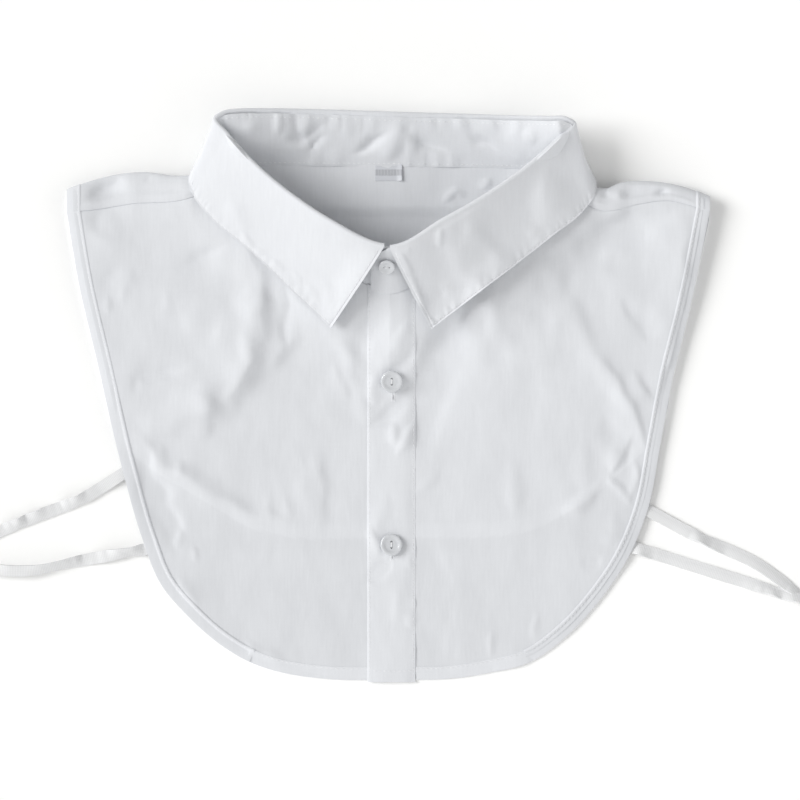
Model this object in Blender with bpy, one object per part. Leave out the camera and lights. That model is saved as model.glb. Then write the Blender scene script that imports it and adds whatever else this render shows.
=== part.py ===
"""Detachable shirt collar, buttoned and laid flat with its front up.

A folded shirt collar on a small bib: a front in two halves that button down a placket, and a shorter
back that laps over both shoulders. The tables are in millimetres: X runs across the chest, Y from the hem
to the collar, and Z up from the table. The scene is in metres. "Left" is the side at -X, which carries the
buttons.
"""

import math
from typing import NamedTuple

import bmesh
import bpy
from mathutils import Quaternion, Vector

MM = 0.001

MIDDLE = (-0.5, 0.84, 0.0)  # of the finished garment without its elastics, brought to the origin

# Cloth and seams
WALL = 1.0  # panels, stand, leaf, label and elastic
BAND = 1.2  # cloth folded on itself: bindings and hems
GAP = 0.3  # clear space between pieces
SEAM_ROOM = 0.5  # between a panel's edge and its binding or hem
LAYER = 1.4  # from the middle of one sheet to the middle of the one laid on it
BINDING_WIDTH = 6.5

# Front opening
PLACKET_LEFT = -11.0
PLACKET_RIGHT = 13.0
FRONTS_MEET = 9.5  # under the placket, where the two halves of the front butt
HEM_LINE = -142.5  # foot of the placket
BINDING_END = 70.0  # how far from the middle the bindings end and the hems begin

# Heights of the bib's middle surface over the table
FRONT_OVER_BACK = 2.1  # front lying on the back
FRONT_ON_TABLE = 0.6
BACK_FOOT = -75.0  # the front starts to sink past the back's hem here
TABLE_REACHED = -92.0
SHOULDER_LIFT = 5.0  # what the rolled shoulders hold the front up by
SHOULDER_LIFT_FROM = -80.0
SHOULDER_LIFT_TO = 100.0
SHOULDER_LIFT_WIDTH = 100.0

# Neckline of the bib in plan: a rounded V, open at the back
NECK_BACK = 116.0
NECK_HALF_WIDTH = 92.0
NECK_DEPTH = 62.5
NECK_ROUNDNESS = 1.25
NECK_HEIGHT = 19.7  # at the front centre
NECK_HEIGHT_LOST = 0.11  # for each millimetre from the centre
NECK_SLOPE_FRONT = 0.95  # how far the slope runs, in neckline sizes
NECK_SLOPE_SIDE = 0.5
NECK_SEAM = 1.0  # bib edge to seam line

# Collar
FOLD_RADIUS = 1.6
FOLD_SEAM = 2.0  # the leaf's seam with the stand, below the fold
LAP_OFFSET = 0.7  # each lapped end of the stand off the seam line
# In rows of the collar table, about 31 mm long at the front
STAND_LAP = 0.29  # each end of the stand past the front centre
LAP_EASED = 0.85
LEAF_START = 0.065  # the leaf's front edges, from the front centre
COLUMNS_PER_ROW = 3  # faces of the stand and leaf
LAP_COLUMNS = 3
LEAF_BULGE = 0.18
FRONT_STRAIGHT = 1.6  # rows over which the straight front edges ease into the fall of the leaf

# Buttons, elastic and label
FRONT_BUTTON = 11.0
COLLAR_BUTTON = 8.6
BUTTON_HEIGHT = 2.2
ELASTIC_WIDTH = 6.0
LABEL = (-7.2, 6.3, 108.0, 115.0)  # left, right, foot, top


class CollarSection(NamedTuple):
    """One cut across the collar."""

    neck: tuple  # seam of stand and bib
    fold: tuple  # crest of the fold
    edge: tuple  # outer edge of the leaf


# Round the neck from the front centre: up the left side, along the back, down the right side
COLLAR = [
    CollarSection((-0.8, 53.5, 19.6), (-0.8, 75.5, 36.0), (-27.8, 33.3, 13.0)),
    CollarSection((-29.3, 67.3, 16.5), (-29.3, 88.0, 35.3), (-47.3, 51.5, 15.0)),
    CollarSection((-48.3, 79.5, 14.4), (-48.3, 100.5, 32.5), (-68.8, 72.3, 15.3)),
    CollarSection((-67.3, 93.0, 12.3), (-66.8, 116.0, 28.5), (-89.8, 90.0, 13.4)),
    CollarSection((-83.8, 106.5, 10.5), (-81.3, 132.0, 23.0), (-97.8, 100.5, 12.2)),
    CollarSection((-89.3, 113.0, 8.5), (-86.8, 139.5, 19.0), (-100.0, 107.5, 11.2)),
    CollarSection((-86.3, 116.0, 6.2), (-82.8, 142.3, 16.0), (-98.0, 113.0, 6.0)),
    CollarSection((-76.3, 116.7, 4.4), (-74.8, 143.5, 13.8), (-92.0, 109.5, 0.8)),
    CollarSection((-63.8, 116.5, 3.5), (-63.8, 143.7, 12.0), (-76.3, 101.0, 0.5)),
    CollarSection((-39.8, 116.3, 3.0), (-38.8, 143.4, 10.0), (-44.8, 99.5, 0.5)),
    CollarSection((-0.8, 116.0, 2.8), (-0.8, 142.2, 8.5), (-0.8, 99.5, 0.5)),
    CollarSection((40.3, 115.5, 3.0), (40.3, 141.0, 10.0), (47.0, 99.5, 0.5)),
    CollarSection((62.8, 115.0, 3.5), (62.8, 140.2, 12.0), (78.0, 100.5, 0.5)),
    CollarSection((80.3, 114.7, 4.6), (79.3, 139.7, 14.0), (97.0, 105.0, 0.8)),
    CollarSection((90.8, 113.5, 6.4), (88.3, 139.2, 16.5), (102.5, 108.0, 6.0)),
    CollarSection((92.8, 110.5, 8.6), (91.8, 137.2, 19.5), (102.8, 102.0, 11.0)),
    CollarSection((85.3, 105.0, 10.4), (85.3, 130.5, 23.0), (96.8, 93.0, 12.0)),
    CollarSection((68.3, 92.5, 12.2), (68.3, 115.0, 28.5), (83.3, 82.0, 13.8)),
    CollarSection((48.3, 79.5, 14.4), (48.3, 101.0, 32.5), (62.3, 65.5, 15.8)),
    CollarSection((28.3, 67.5, 16.6), (28.3, 89.5, 35.3), (41.3, 49.5, 14.8)),
    CollarSection((-0.8, 53.5, 19.6), (-0.8, 75.5, 36.0), (20.3, 33.3, 12.0)),
]
SHOULDER_LEFT = 4.0  # rows of the table where the shoulder seams meet the neck seam
SHOULDER_RIGHT = 16.0
ROLL_ROWS = 2.6  # the rolled shoulder dies out over this many rows


class Side(NamedTuple):
    """Finished outlines of one half of the bib, and its shoulder."""

    front: list  # from the shoulder seam round to the front centre
    back: list  # from under the shoulder seam round to the back's middle
    seam: list  # shoulder seam, from the binding in, without its neck end
    crest: list  # topmost line of the rolled shoulder, outer end first


LEFT = Side(
    front=[
        (-161.6, 95.5), (-154.8, 55.5), (-145.8, 17.0), (-133.8, -35.0), (-123.3, -71.5), (-114.0, -94.0),
        (-101.3, -109.0), (-82.8, -125.0), (-69.8, -132.5), (-52.8, -138.0), (-36.3, -140.5), (9.2, -141.3),
    ],
    back=[
        (-160.8, 89.0), (-154.8, 55.5), (-145.8, 17.0), (-138.8, -11.5), (-132.3, -25.0), (-119.8, -35.5),
        (-104.3, -45.0), (-85.8, -56.0), (-70.3, -65.0), (-52.0, -69.5), (0.0, -70.0),
    ],
    seam=[(-128.8, 97.0), (-102.3, 99.5)],
    crest=[
        (-162.0, 103.5), (-157.0, 105.5), (-138.0, 111.0), (-120.0, 112.5), (-100.0, 110.5), (-88.0, 111.0),
    ],
)
RIGHT = Side(
    front=[
        (160.6, 96.5), (150.3, 45.5), (141.3, 8.5), (135.3, -24.0), (128.8, -56.5), (120.3, -78.0),
        (103.8, -103.0), (87.3, -120.5), (71.3, -132.0), (49.3, -138.0), (22.3, -141.3), (9.8, -141.3),
    ],
    back=[
        (159.8, 89.0), (150.3, 45.5), (141.3, 8.5), (136.3, -14.0), (129.3, -24.5), (117.8, -35.5),
        (105.3, -46.5), (95.3, -54.0), (82.8, -61.0), (65.3, -68.0), (50.0, -69.8), (0.0, -70.0),
    ],
    seam=[(138.8, 96.0), (110.0, 91.5)],
    crest=[
        (161.5, 99.5), (156.0, 102.0), (138.0, 107.0), (127.0, 108.0), (110.0, 107.0), (103.0, 104.5),
        (92.0, 106.5),
    ],
)

# Routes of the elastic loops: from the back's edge out, over a flat fold, and back to the front's binding
ELASTIC_LEFT = [
    (-125.4, -33.5, 0.5), (-134.3, -39.0, 0.5), (-152.8, -50.3, 0.5), (-174.8, -59.0, 0.5),
    (-194.8, -67.1, 0.5), (-204.5, -72.2, 0.5), (-211.5, -76.8, 0.6), (-214.8, -79.3, 1.2),
    (-215.8, -80.7, 2.2), (-214.6, -81.8, 3.2), (-211.5, -82.9, 3.1), (-205.0, -85.1, 1.7),
    (-194.8, -86.5, 0.5), (-177.3, -86.5, 0.5), (-157.8, -82.5, 0.5), (-140.0, -79.2, 0.5),
    (-130.0, -77.5, 0.7), (-123.6, -76.4, 1.1),
]
ELASTIC_RIGHT = [
    (109.7, -46.2, 0.5), (119.0, -51.2, 0.5), (129.8, -57.0, 0.5), (150.3, -68.0, 0.5),
    (162.3, -73.5, 0.5), (183.8, -83.5, 0.5), (196.0, -92.0, 0.5), (203.0, -97.5, 0.6),
    (206.3, -99.9, 1.2), (207.2, -100.7, 2.2), (206.0, -100.8, 3.2), (203.0, -100.2, 3.3),
    (197.0, -98.6, 2.3), (190.0, -96.4, 0.9), (180.8, -93.5, 0.5), (163.0, -88.0, 0.5),
    (147.3, -83.0, 0.5), (133.0, -78.6, 0.7), (123.4, -75.8, 1.1),
]

LOOKS = {  # name: colour, roughness
    "poplin": ((0.86, 0.87, 0.89), 0.8),
    "elastic": ((0.88, 0.88, 0.88), 0.7),
    "button": ((0.82, 0.83, 0.84), 0.2),
    "satin": ((0.80, 0.81, 0.85), 0.4),
}


def smooth(low, high, value):
    """0 below low, 1 above high, and an easy curve between."""
    t = min(1.0, max(0.0, (value - low) / (high - low)))
    return t * t * (3 - 2 * t)


class Course:
    """A smooth curve through points, read by its length from 0 to 1 or by the points' own row numbers."""

    def __init__(self, points, by_row=False, closed=False):
        self.points = [Vector(point) for point in points]
        self.closed = closed
        steps = [(b - a).length for a, b in zip(self.points, self.points[1:])]
        marks = [0.0]
        for step in steps:
            marks.append(marks[-1] + step)
        self.marks = marks
        self.by_row = by_row

    def _way(self, row):
        """Slope of the straight step that starts at a point."""
        return (self.points[row + 1] - self.points[row]) / (self.marks[row + 1] - self.marks[row])

    def _slope(self, row):
        last = len(self.points) - 1
        if self.closed and row in (0, last):
            goes, came = self._way(0), self._way(last - 1)
            far, near = self.marks[1], self.marks[last] - self.marks[last - 1]
            return (came * far + goes * near) / (near + far)
        if row == 0:
            return self._way(0)
        if row == last:
            return self._way(last - 1)
        near = self.marks[row] - self.marks[row - 1]
        far = self.marks[row + 1] - self.marks[row]
        return (self._way(row - 1) * far + self._way(row) * near) / (near + far)

    def at(self, place):
        rows = len(self.points) - 1
        if self.by_row:
            row = min(rows - 1, max(0, int(place)))
            t = place - row
        else:
            length = min(1.0, max(0.0, place)) * self.marks[-1]
            row = max(i for i in range(rows) if self.marks[i] <= length)
            t = (length - self.marks[row]) / (self.marks[row + 1] - self.marks[row])
        step = self.marks[row + 1] - self.marks[row]
        start, end = self.points[row], self.points[row + 1]
        leave, arrive = self._slope(row) * step, self._slope(row + 1) * step
        return (
            start * (2 * t**3 - 3 * t**2 + 1)
            + leave * (t**3 - 2 * t**2 + t)
            + end * (3 * t**2 - 2 * t**3)
            + arrive * (t**3 - t**2)
        )

    def along(self, place):
        """Direction of travel."""
        near = 0.02 if self.by_row else 0.004
        return (self.at(place + near) - self.at(place - near)).normalized()


def front_height(x, y):
    """Middle of the front layer over the table."""
    down = max(0.0, NECK_BACK - y) / NECK_DEPTH
    reach = ((abs(x) / NECK_HALF_WIDTH) ** NECK_ROUNDNESS + down**NECK_ROUNDNESS) ** (1 / NECK_ROUNDNESS)
    reach = max(1.0, reach)
    lying = FRONT_ON_TABLE + (FRONT_OVER_BACK - FRONT_ON_TABLE) * smooth(TABLE_REACHED, BACK_FOOT, y)

    def shoulder(across, up):
        return (
            SHOULDER_LIFT
            * smooth(SHOULDER_LIFT_FROM, SHOULDER_LIFT_TO, up)
            * smooth(0.0, SHOULDER_LIFT_WIDTH, abs(across))
        )

    seam_x = x / reach
    seam_y = NECK_BACK - (NECK_BACK - y) / reach
    at_seam = NECK_HEIGHT - NECK_HEIGHT_LOST * abs(seam_x) - FRONT_OVER_BACK - shoulder(seam_x, seam_y)
    run = NECK_SLOPE_FRONT - (NECK_SLOPE_FRONT - NECK_SLOPE_SIDE) * (seam_x / NECK_HALF_WIDTH) ** 2
    left = 1 - min(1.0, (reach - 1) / run)
    return lying + shoulder(x, y) + at_seam * left**2 * (2 - left)


def back_height(x, y):
    """Middle of the back panel over the table: it lies on the leaf near the neck."""
    leaf_under = smooth(88.0, 96.0, y) * smooth(-108.0, -101.0, -abs(x))
    return WALL / 2 + (WALL + 2 * GAP) * leaf_under


def on_front(point, over=0.0):
    """A point on the front layer, or as far over it square to its slope."""
    x, y = point.x, point.y
    slope_x = (front_height(x + 1, y) - front_height(x - 1, y)) / 2
    slope_y = (front_height(x, y + 1) - front_height(x, y - 1)) / 2
    return Vector((x, y, front_height(x, y) + over * math.sqrt(1 + slope_x**2 + slope_y**2)))


def on_back(point, over=0.0):
    return Vector((point.x, point.y, back_height(point.x, point.y) + over))


# ---- collar sections ----

NECK = Course([row.neck for row in COLLAR], by_row=True, closed=True)
FOLD = Course([row.fold for row in COLLAR], by_row=True, closed=True)
EDGE = Course([row.edge for row in COLLAR], by_row=True)
ROUND = len(COLLAR) - 1


def lap(row):
    """How far a lapped end is shifted outwards: the left end goes under, the right end over."""
    under = 1 - smooth(STAND_LAP, LAP_EASED, row)
    over = 1 - smooth(STAND_LAP, LAP_EASED, ROUND - row)
    return LAP_OFFSET * (over - under)


def collar_frame(row):
    """Neck point, fold point, the way up the stand, the way out, and how square to it the fold runs."""
    neck, fold = NECK.at(row % ROUND), FOLD.at(row % ROUND)
    near, far = FOLD.at((row - 0.04) % ROUND), FOLD.at((row + 0.04) % ROUND)
    up = (fold - neck).normalized()
    out = up.cross((far - near).normalized())
    square = out.length
    out.normalize()
    shift = out * lap(row)
    return neck + shift, fold + shift, up, out, square


def stand_surface(u, v):
    """u runs round the neck with the laps, v up from the neck seam to the leaf's seam."""
    column = u * (ROUND * COLUMNS_PER_ROW + 2 * LAP_COLUMNS) - LAP_COLUMNS
    past = max(0.0, -column, column - ROUND * COLUMNS_PER_ROW) / LAP_COLUMNS
    row = min(ROUND, max(0.0, column / COLUMNS_PER_ROW))
    row += past * (STAND_LAP if column > 0 else -STAND_LAP)
    neck, fold, up, out, square = collar_frame(row)
    foot = neck + up * 0.2
    top = fold - up * (FOLD_RADIUS + FOLD_SEAM + 4 * GAP / square) - out * FOLD_RADIUS
    top = top.lerp(foot, 0.12 * smooth(0.0, 0.3, past) + 0.38 * past**3)
    return foot.lerp(top, v)


def leaf_surface(u, v):
    """u runs round the neck, v from the stand's seam over the fold to the outer edge."""
    row = min(ROUND - LEAF_START / 2, max(LEAF_START, u * ROUND))
    neck, fold, up, out, square = collar_frame(row)
    fold_centre = fold - up * FOLD_RADIUS
    seam_side = fold_centre - out * FOLD_RADIUS
    fall_side = fold_centre + out * FOLD_RADIUS
    seam_part, fold_part = 0.1, 0.3
    if v < seam_part:
        return seam_side - up * FOLD_SEAM * (1 - v / seam_part)
    if v < fold_part:
        turn = math.pi * (v - seam_part) / (fold_part - seam_part)
        return fold_centre + (up * math.sin(turn) - out * math.cos(turn)) * FOLD_RADIUS
    t = (v - fold_part) / (1 - fold_part)
    edge = EDGE.at(row)
    span = (edge - fall_side).length
    leave = (out * LEAF_BULGE - up * 0.8) * span
    under = smooth(0.3, 0.9, -out.z)
    leave.z -= 7.0 * under
    arrive = (edge - fall_side) * 0.9
    straight = 0.85 * (1 - smooth(0.3, FRONT_STRAIGHT, min(row, ROUND - row)))
    leave.x += (arrive.x - leave.x) * straight
    leave.y += (arrive.y - leave.y) * straight
    arrive.z *= (1 - under) * (0.5 + 0.5 * smooth(2.0, 4.0, min(row, ROUND - row)))
    point = (
        fall_side * (2 * t**3 - 3 * t**2 + 1)
        + leave * (t**3 - 2 * t**2 + t)
        + edge * (3 * t**2 - 2 * t**3)
        + arrive * (t**3 - t**2)
    )
    point.z = max(point.z, WALL / 2)
    return point


# ---- bib ----


def inwards(course, place):
    """Square to an outline, in plan, towards the middle of the bib."""
    way = course.along(place)
    point = course.at(place)
    square = Vector((-way.y, way.x))
    return square if square.dot(Vector((0.0, 0.0)) - point) > 0 else -square


def place_of_x(course, x):
    """How far along an outline its foot passes the distance x from the middle."""
    low, high = 0.3, 1.0
    for _ in range(30):
        middle = (low + high) / 2
        if abs(course.at(middle).x) > x:
            low = middle
        else:
            high = middle
    return low


def patch(top, foot, left, right, u, v):
    """A surface patch in plan between four edges."""
    edges = top(u).lerp(foot(u), v) + left(v).lerp(right(v), u)
    corners = top(0).lerp(top(1), u).lerp(foot(0).lerp(foot(1), u), v)
    return edges - corners


class Half:
    """One half of the bib: outlines, shoulder seam and rolled shoulder."""

    def __init__(self, side, shoulder_row):
        self.front = Course(side.front)
        self.back = Course(side.back)
        self.crest = Course(side.crest)
        self.shoulder_row = shoulder_row
        self.sign = math.copysign(1.0, side.front[0][0])
        neck_end = self.neck_edge(shoulder_row)
        self.seam = Course([self.front_edge(0.0)[:2], *side.seam, neck_end[:2]])

    def front_edge(self, place):
        """Edge of the front panel, inside the binding or hem."""
        return self.front.at(place) + inwards(self.front, place) * (BINDING_WIDTH + SEAM_ROOM)

    def back_edge(self, place):
        return self.back.at(place) + inwards(self.back, place) * (BINDING_WIDTH + SEAM_ROOM)

    def neck_edge(self, row):
        """Edge of the front panel along the neck seam, in plan."""
        neck = NECK.at(row % ROUND)
        way = NECK.along(row % ROUND if 0.1 < row % ROUND < ROUND - 0.1 else 0.1)
        out = Vector((way.y, -way.x)).normalized()
        out = out if out.dot(Vector((neck.x, neck.y - NECK_BACK))) > 0 else -out
        return Vector((neck.x, neck.y)) + out * NECK_SEAM

    def crest_y(self, x):
        """Y of the rolled shoulder's topmost line at x."""
        low, high = 0.0, 1.0
        for _ in range(30):
            middle = (low + high) / 2
            if abs(self.crest.at(middle).x) > abs(x):
                low = middle
            else:
                high = middle
        return self.crest.at(low).y

    def roll(self, top, foot, t, outwards=0.0):
        """Over the shoulder from the seam point to the point under it."""
        crest = self.crest_y(top.x) - WALL / 2
        pull = max((crest - 0.125 * (top.y + foot.y)) / 0.75, top.y + 1.5)
        first = Vector((top.x + outwards, pull, top.z + 0.8))
        second = Vector((foot.x + outwards * 0.6, pull, foot.z))
        return (
            top * (1 - t) ** 3
            + first * 3 * t * (1 - t) ** 2
            + second * 3 * t**2 * (1 - t)
            + foot * t**3
        )


HALVES = {"left": Half(LEFT, SHOULDER_LEFT), "right": Half(RIGHT, SHOULDER_RIGHT)}
FRONT_CORNER = 0.66  # how far along the front outline the panel's lower corner is
BACK_CORNER = {"left": 0.55, "right": 0.55}
SEAM_COLUMNS = 6  # faces along each shoulder seam, the same in front and back
FRONT_COLUMNS = 15
FRONT_ROWS = 14
BACK_COLUMNS = 34
NECK_CROWDING = 1.4  # draws the front's rows up to the neck, where it slopes


def front_panel(side):
    half = HALVES[side]
    centre_x = FRONTS_MEET - GAP * 0.6 if side == "left" else FRONTS_MEET + GAP * 0.6
    seam_share = SEAM_COLUMNS / FRONT_COLUMNS
    shoulder = half.shoulder_row
    centre_row = -0.35 if side == "left" else ROUND - 0.35

    def top(u):
        if u < seam_share:
            return half.seam.at(u / seam_share) - Vector((0.0, SEAM_ROOM / 2))
        t = (u - seam_share) / (1 - seam_share)
        return half.neck_edge(shoulder + (centre_row - shoulder) * t)

    def side_edge(v):
        return half.front_edge(FRONT_CORNER * v)

    def foot(u):
        return half.front_edge(FRONT_CORNER + (1 - FRONT_CORNER) * u)

    def centre(v):
        return Vector((centre_x, top(1).y)).lerp(foot(1), v)

    def surface(u, v):
        return on_front(patch(top, foot, side_edge, centre, u, v**NECK_CROWDING))

    return surface


def back_panel_surface():
    left, right = HALVES["left"], HALVES["right"]
    seam_share = SEAM_COLUMNS / BACK_COLUMNS
    roll_share = 0.45

    def top(u):
        """Upper edge in space: left seam, neck seam, right seam."""
        half = left if u < 0.5 else right
        along = min(u, 1 - u) / seam_share
        if along < 1 - 1e-6:
            room = SEAM_ROOM * (0.5 + smooth(0.5, 1.0, along))
            return on_front(half.seam.at(along) + Vector((0.0, room)))
        t = (u - seam_share) / (1 - 2 * seam_share)
        row = SHOULDER_LEFT + (SHOULDER_RIGHT - SHOULDER_LEFT) * t
        clear = SEAM_ROOM * 1.2 * smooth(-0.8, 0.0, -min(row - SHOULDER_LEFT, SHOULDER_RIGHT - row))
        return NECK.at(row) + off_the_neck(u) * NECK_SEAM + Vector((0.0, clear, 0.0))

    def off_the_neck(u):
        """The way the panel leaves the neck seam: outwards at a shoulder, down the back elsewhere."""
        t = (u - seam_share) / (1 - 2 * seam_share)
        row = SHOULDER_LEFT + (SHOULDER_RIGHT - SHOULDER_LEFT) * t
        rows_in = max(0.0, min(row - SHOULDER_LEFT, SHOULDER_RIGHT - row))
        back = smooth(1.2, 3.2, rows_in)
        room = 1.4 + 0.9 * smooth(0.1, 0.9, rows_in) - 1.3 * smooth(2.4, 3.4, rows_in)
        outwards = Vector((-1.0 if t < 0.5 else 1.0, -0.75 + 0.5 * min(1.0, rows_in), 0.0)).normalized()
        return outwards.lerp(Vector((0.0, -1.0, -0.1)), back).normalized() * room

    def landing(u):
        """Where the panel comes to lie flat."""
        left_end, right_end = left.back_edge(0.0), right.back_edge(0.0)
        if u < seam_share:
            x = left_end.x + (-86.0 - left_end.x) * u / seam_share
        elif u > 1 - seam_share:
            x = right_end.x + (88.0 - right_end.x) * (1 - u) / seam_share
        else:
            x = -86.0 + 174.0 * (u - seam_share) / (1 - 2 * seam_share)
        y = left_end.y + (right_end.y - left_end.y) * u
        return on_back(Vector((x, y)))

    def rolled(u):
        if u < seam_share or u > 1 - seam_share:
            return 1.0
        t = (u - seam_share) / (1 - 2 * seam_share)
        row = SHOULDER_LEFT + (SHOULDER_RIGHT - SHOULDER_LEFT) * t
        return 1 - smooth(0.4, ROLL_ROWS, min(row - SHOULDER_LEFT, SHOULDER_RIGHT - row))

    def upper(u, t):
        start, end = top(u), landing(u)
        half = left if u < 0.5 else right
        flat = start.lerp(end, t)
        flat.z = back_height(flat.x, flat.y) + (start.z - back_height(start.x, start.y)) * (1 - t) ** 2
        return flat.lerp(half.roll(start, end, t, half.sign * corner(u)), rolled(u))

    def corner(u):
        """How far the roll swings outwards to clear the collar."""
        rows_in = (min(u, 1 - u) - seam_share) / (1 - 2 * seam_share) * (SHOULDER_RIGHT - SHOULDER_LEFT)
        return 9.0 * smooth(-2.6, 0.0, rows_in) - 7.0 * smooth(0.0, 2.4, rows_in)

    def flat_top(u):
        point = landing(u)
        return Vector((point.x, point.y))

    def side_left(v):
        return left.back_edge(BACK_CORNER["left"] * v)

    def side_right(v):
        return right.back_edge(BACK_CORNER["right"] * v)

    def foot(u):
        """From the left corner along the foot to the right corner."""
        if u < 0.5:
            start = BACK_CORNER["left"]
            return left.back_edge(start + (1 - start) * 2 * u)
        start = BACK_CORNER["right"]
        return right.back_edge(start + (1 - start) * 2 * (1 - u))

    def surface(u, v):
        if v < roll_share:
            return upper(u, v / roll_share)
        t = (v - roll_share) / (1 - roll_share)
        return on_back(patch(flat_top, foot, side_left, side_right, u, t))

    return surface


def binding_surface(side):
    """u from the front's hem up, over the shoulder and down to the back's hem; v from the outer edge in."""
    half = HALVES[side]
    front_end = place_of_x(half.front, BINDING_END)
    back_end = place_of_x(half.back, BINDING_END)
    front_share, roll_share = 0.5, 0.14

    def front_point(place, v):
        plan = half.front.at(place) + inwards(half.front, place) * BINDING_WIDTH * v
        return on_front(plan)

    def back_point(place, v):
        plan = half.back.at(place) + inwards(half.back, place) * BINDING_WIDTH * v
        return on_back(plan, (BAND - WALL) / 2)

    def surface(u, v):
        if u < front_share:
            return front_point(front_end * (1 - u / front_share), v)
        if u > front_share + roll_share:
            t = (u - front_share - roll_share) / (1 - front_share - roll_share)
            return back_point(back_end * t, v)
        return half.roll(front_point(0.0, v), back_point(0.0, v), (u - front_share) / roll_share)

    return surface


def front_hem_surface(side):
    half = HALVES[side]
    start = place_of_x(half.front, BINDING_END - 2 * GAP)
    end = 1.0 if side == "left" else place_of_x(half.front, PLACKET_RIGHT + GAP)

    def surface(u, v):
        place = start + (end - start) * u
        return on_front(half.front.at(place) + inwards(half.front, place) * BINDING_WIDTH * v)

    return surface


def back_hem_surface(u, v):
    half = HALVES["left" if u < 0.5 else "right"]
    start = place_of_x(half.back, BINDING_END - 2 * GAP)
    place = start + (1 - start) * (2 * u if u < 0.5 else 2 - 2 * u)
    plan = half.back.at(place) + inwards(half.back, place) * BINDING_WIDTH * v
    return on_back(plan, (BAND - WALL) / 2)


def placket_surface(u, v):
    """u across, v down: the front's rows, and one more for the hem."""
    x = PLACKET_LEFT + (PLACKET_RIGHT - PLACKET_LEFT) * u
    half = HALVES["left"]
    first, second = COLLAR[0].neck, COLLAR[1].neck
    top = half.neck_edge((x - first[0]) / (second[0] - first[0])).y - 2 * SEAM_ROOM
    foot = half.front_edge(1.0).y
    row = v * (FRONT_ROWS + 1)
    y = top + (foot - top) * min(1.0, row / FRONT_ROWS) ** NECK_CROWDING
    if row > FRONT_ROWS + 0.5:
        y = HEM_LINE
    return on_front(Vector((x, y)), LAYER + GAP / 3)


def label_surface(u, v):
    left, right, foot, top = LABEL
    plan = Vector((left + (right - left) * u, foot + (top - foot) * v))
    return plan.to_3d() + Vector((0.0, 0.0, back_height(plan.x, plan.y) + WALL + 3 * GAP))


def elastic_surface(route):
    """u along the route, v across the elastic. Its width stays level, also over the fold at its end."""
    course = Course(route)
    out_way = Vector((course.along(0.4).x, course.along(0.4).y)).normalized()
    back_way = Vector((-course.along(0.62).x, -course.along(0.62).y)).normalized()

    def surface(u, v):
        way = course.along(min(0.995, max(0.005, u)))
        flat = Vector((way.x, way.y))
        level = flat.normalized() if u < 0.5 else -flat.normalized()
        turn = smooth(0.46, 0.56, u)
        if 0.44 < u < 0.58:
            level = out_way.lerp(back_way, turn).normalized()
        across = Vector((-level.y, level.x, 0.0))
        middle = course.at(u)
        middle.z = max(middle.z, WALL / 2)
        return middle + across * ELASTIC_WIDTH * (v - 0.5)

    return surface


# ---- building ----


def clear_scene():
    for obj in list(bpy.data.objects):
        bpy.data.objects.remove(obj)


def look(name):
    made = bpy.data.materials.get(name)
    if made:
        return made
    colour, roughness = LOOKS[name]
    made = bpy.data.materials.new(name)
    made.use_nodes = True
    shader = made.node_tree.nodes["Principled BSDF"]
    shader.inputs["Base Color"].default_value = (*colour, 1.0)
    shader.inputs["Roughness"].default_value = roughness
    shader.inputs["Metallic"].default_value = 0.0
    return made


def add_object(name, shape, look_name):
    mesh = bpy.data.meshes.new(name)
    shape.to_mesh(mesh)
    shape.free()
    mesh.materials.append(look(look_name))
    mesh.shade_smooth()
    mesh.set_sharp_from_angle(angle=math.radians(40))
    obj = bpy.data.objects.new(name, mesh)
    bpy.context.scene.collection.objects.link(obj)
    return obj


def sheet(name, surface, across, along, thickness=WALL, look_name="poplin"):
    """A cloth wall: a grid laid on surface(u, v), u and v from 0 to 1, thickened to both sides."""
    shape = bmesh.new()
    bmesh.ops.create_grid(shape, x_segments=across, y_segments=along, size=0.5)
    for vert in shape.verts:
        vert.co = Vector(surface(vert.co.x + 0.5, vert.co.y + 0.5)) * MM
    obj = add_object(name, shape, look_name)
    wall = obj.modifiers.new("wall", "SOLIDIFY")
    wall.thickness = thickness * MM
    wall.offset = 0.0
    wall.use_even_offset = False
    return obj


def button(name, centre, out, size, turn):
    """A two-hole button: rim, dished middle and holes, its back towards the cloth."""
    radius = size / 2
    profile = [
        (0.0, 0.0), (radius - 0.9, 0.0), (radius - 0.1, 0.7), (radius, 1.2), (radius - 0.5, BUTTON_HEIGHT),
        (radius - 1.2, BUTTON_HEIGHT), (radius - 2.1, BUTTON_HEIGHT - 0.6), (0.0, BUTTON_HEIGHT - 0.7),
    ]
    shape = bmesh.new()
    verts = [shape.verts.new((x * MM, 0.0, z * MM)) for x, z in profile]
    edges = [shape.edges.new(pair) for pair in zip(verts, verts[1:])]
    bmesh.ops.spin(
        shape, geom=verts + edges, cent=(0, 0, 0), axis=(0, 0, 1), angle=math.tau, steps=28, use_merge=True
    )
    bmesh.ops.remove_doubles(shape, verts=shape.verts, dist=1e-6)
    bmesh.ops.recalc_face_normals(shape, faces=shape.faces)
    body = add_object(name, shape, "button")
    cut = bmesh.new()
    for side in (-1, 1):
        hole = size * 0.068 * MM
        made = bmesh.ops.create_cone(
            cut, cap_ends=True, segments=12, radius1=hole, radius2=hole, depth=6 * MM
        )
        bmesh.ops.translate(cut, verts=made["verts"], vec=(0.0, side * size * 0.125 * MM, 0.0))
    holes = add_object(name + "_holes", cut, "button")
    holes.hide_render = True
    holes.display_type = "WIRE"
    drill = body.modifiers.new("holes", "BOOLEAN")
    drill.operation = "DIFFERENCE"
    drill.solver = "EXACT"
    drill.object = holes
    facing = out.to_track_quat("Z", "Y") @ Quaternion((0, 0, 1), turn)
    for obj in (body, holes):
        obj.rotation_mode = "QUATERNION"
        obj.rotation_quaternion = facing
        obj.location = centre * MM


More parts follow.
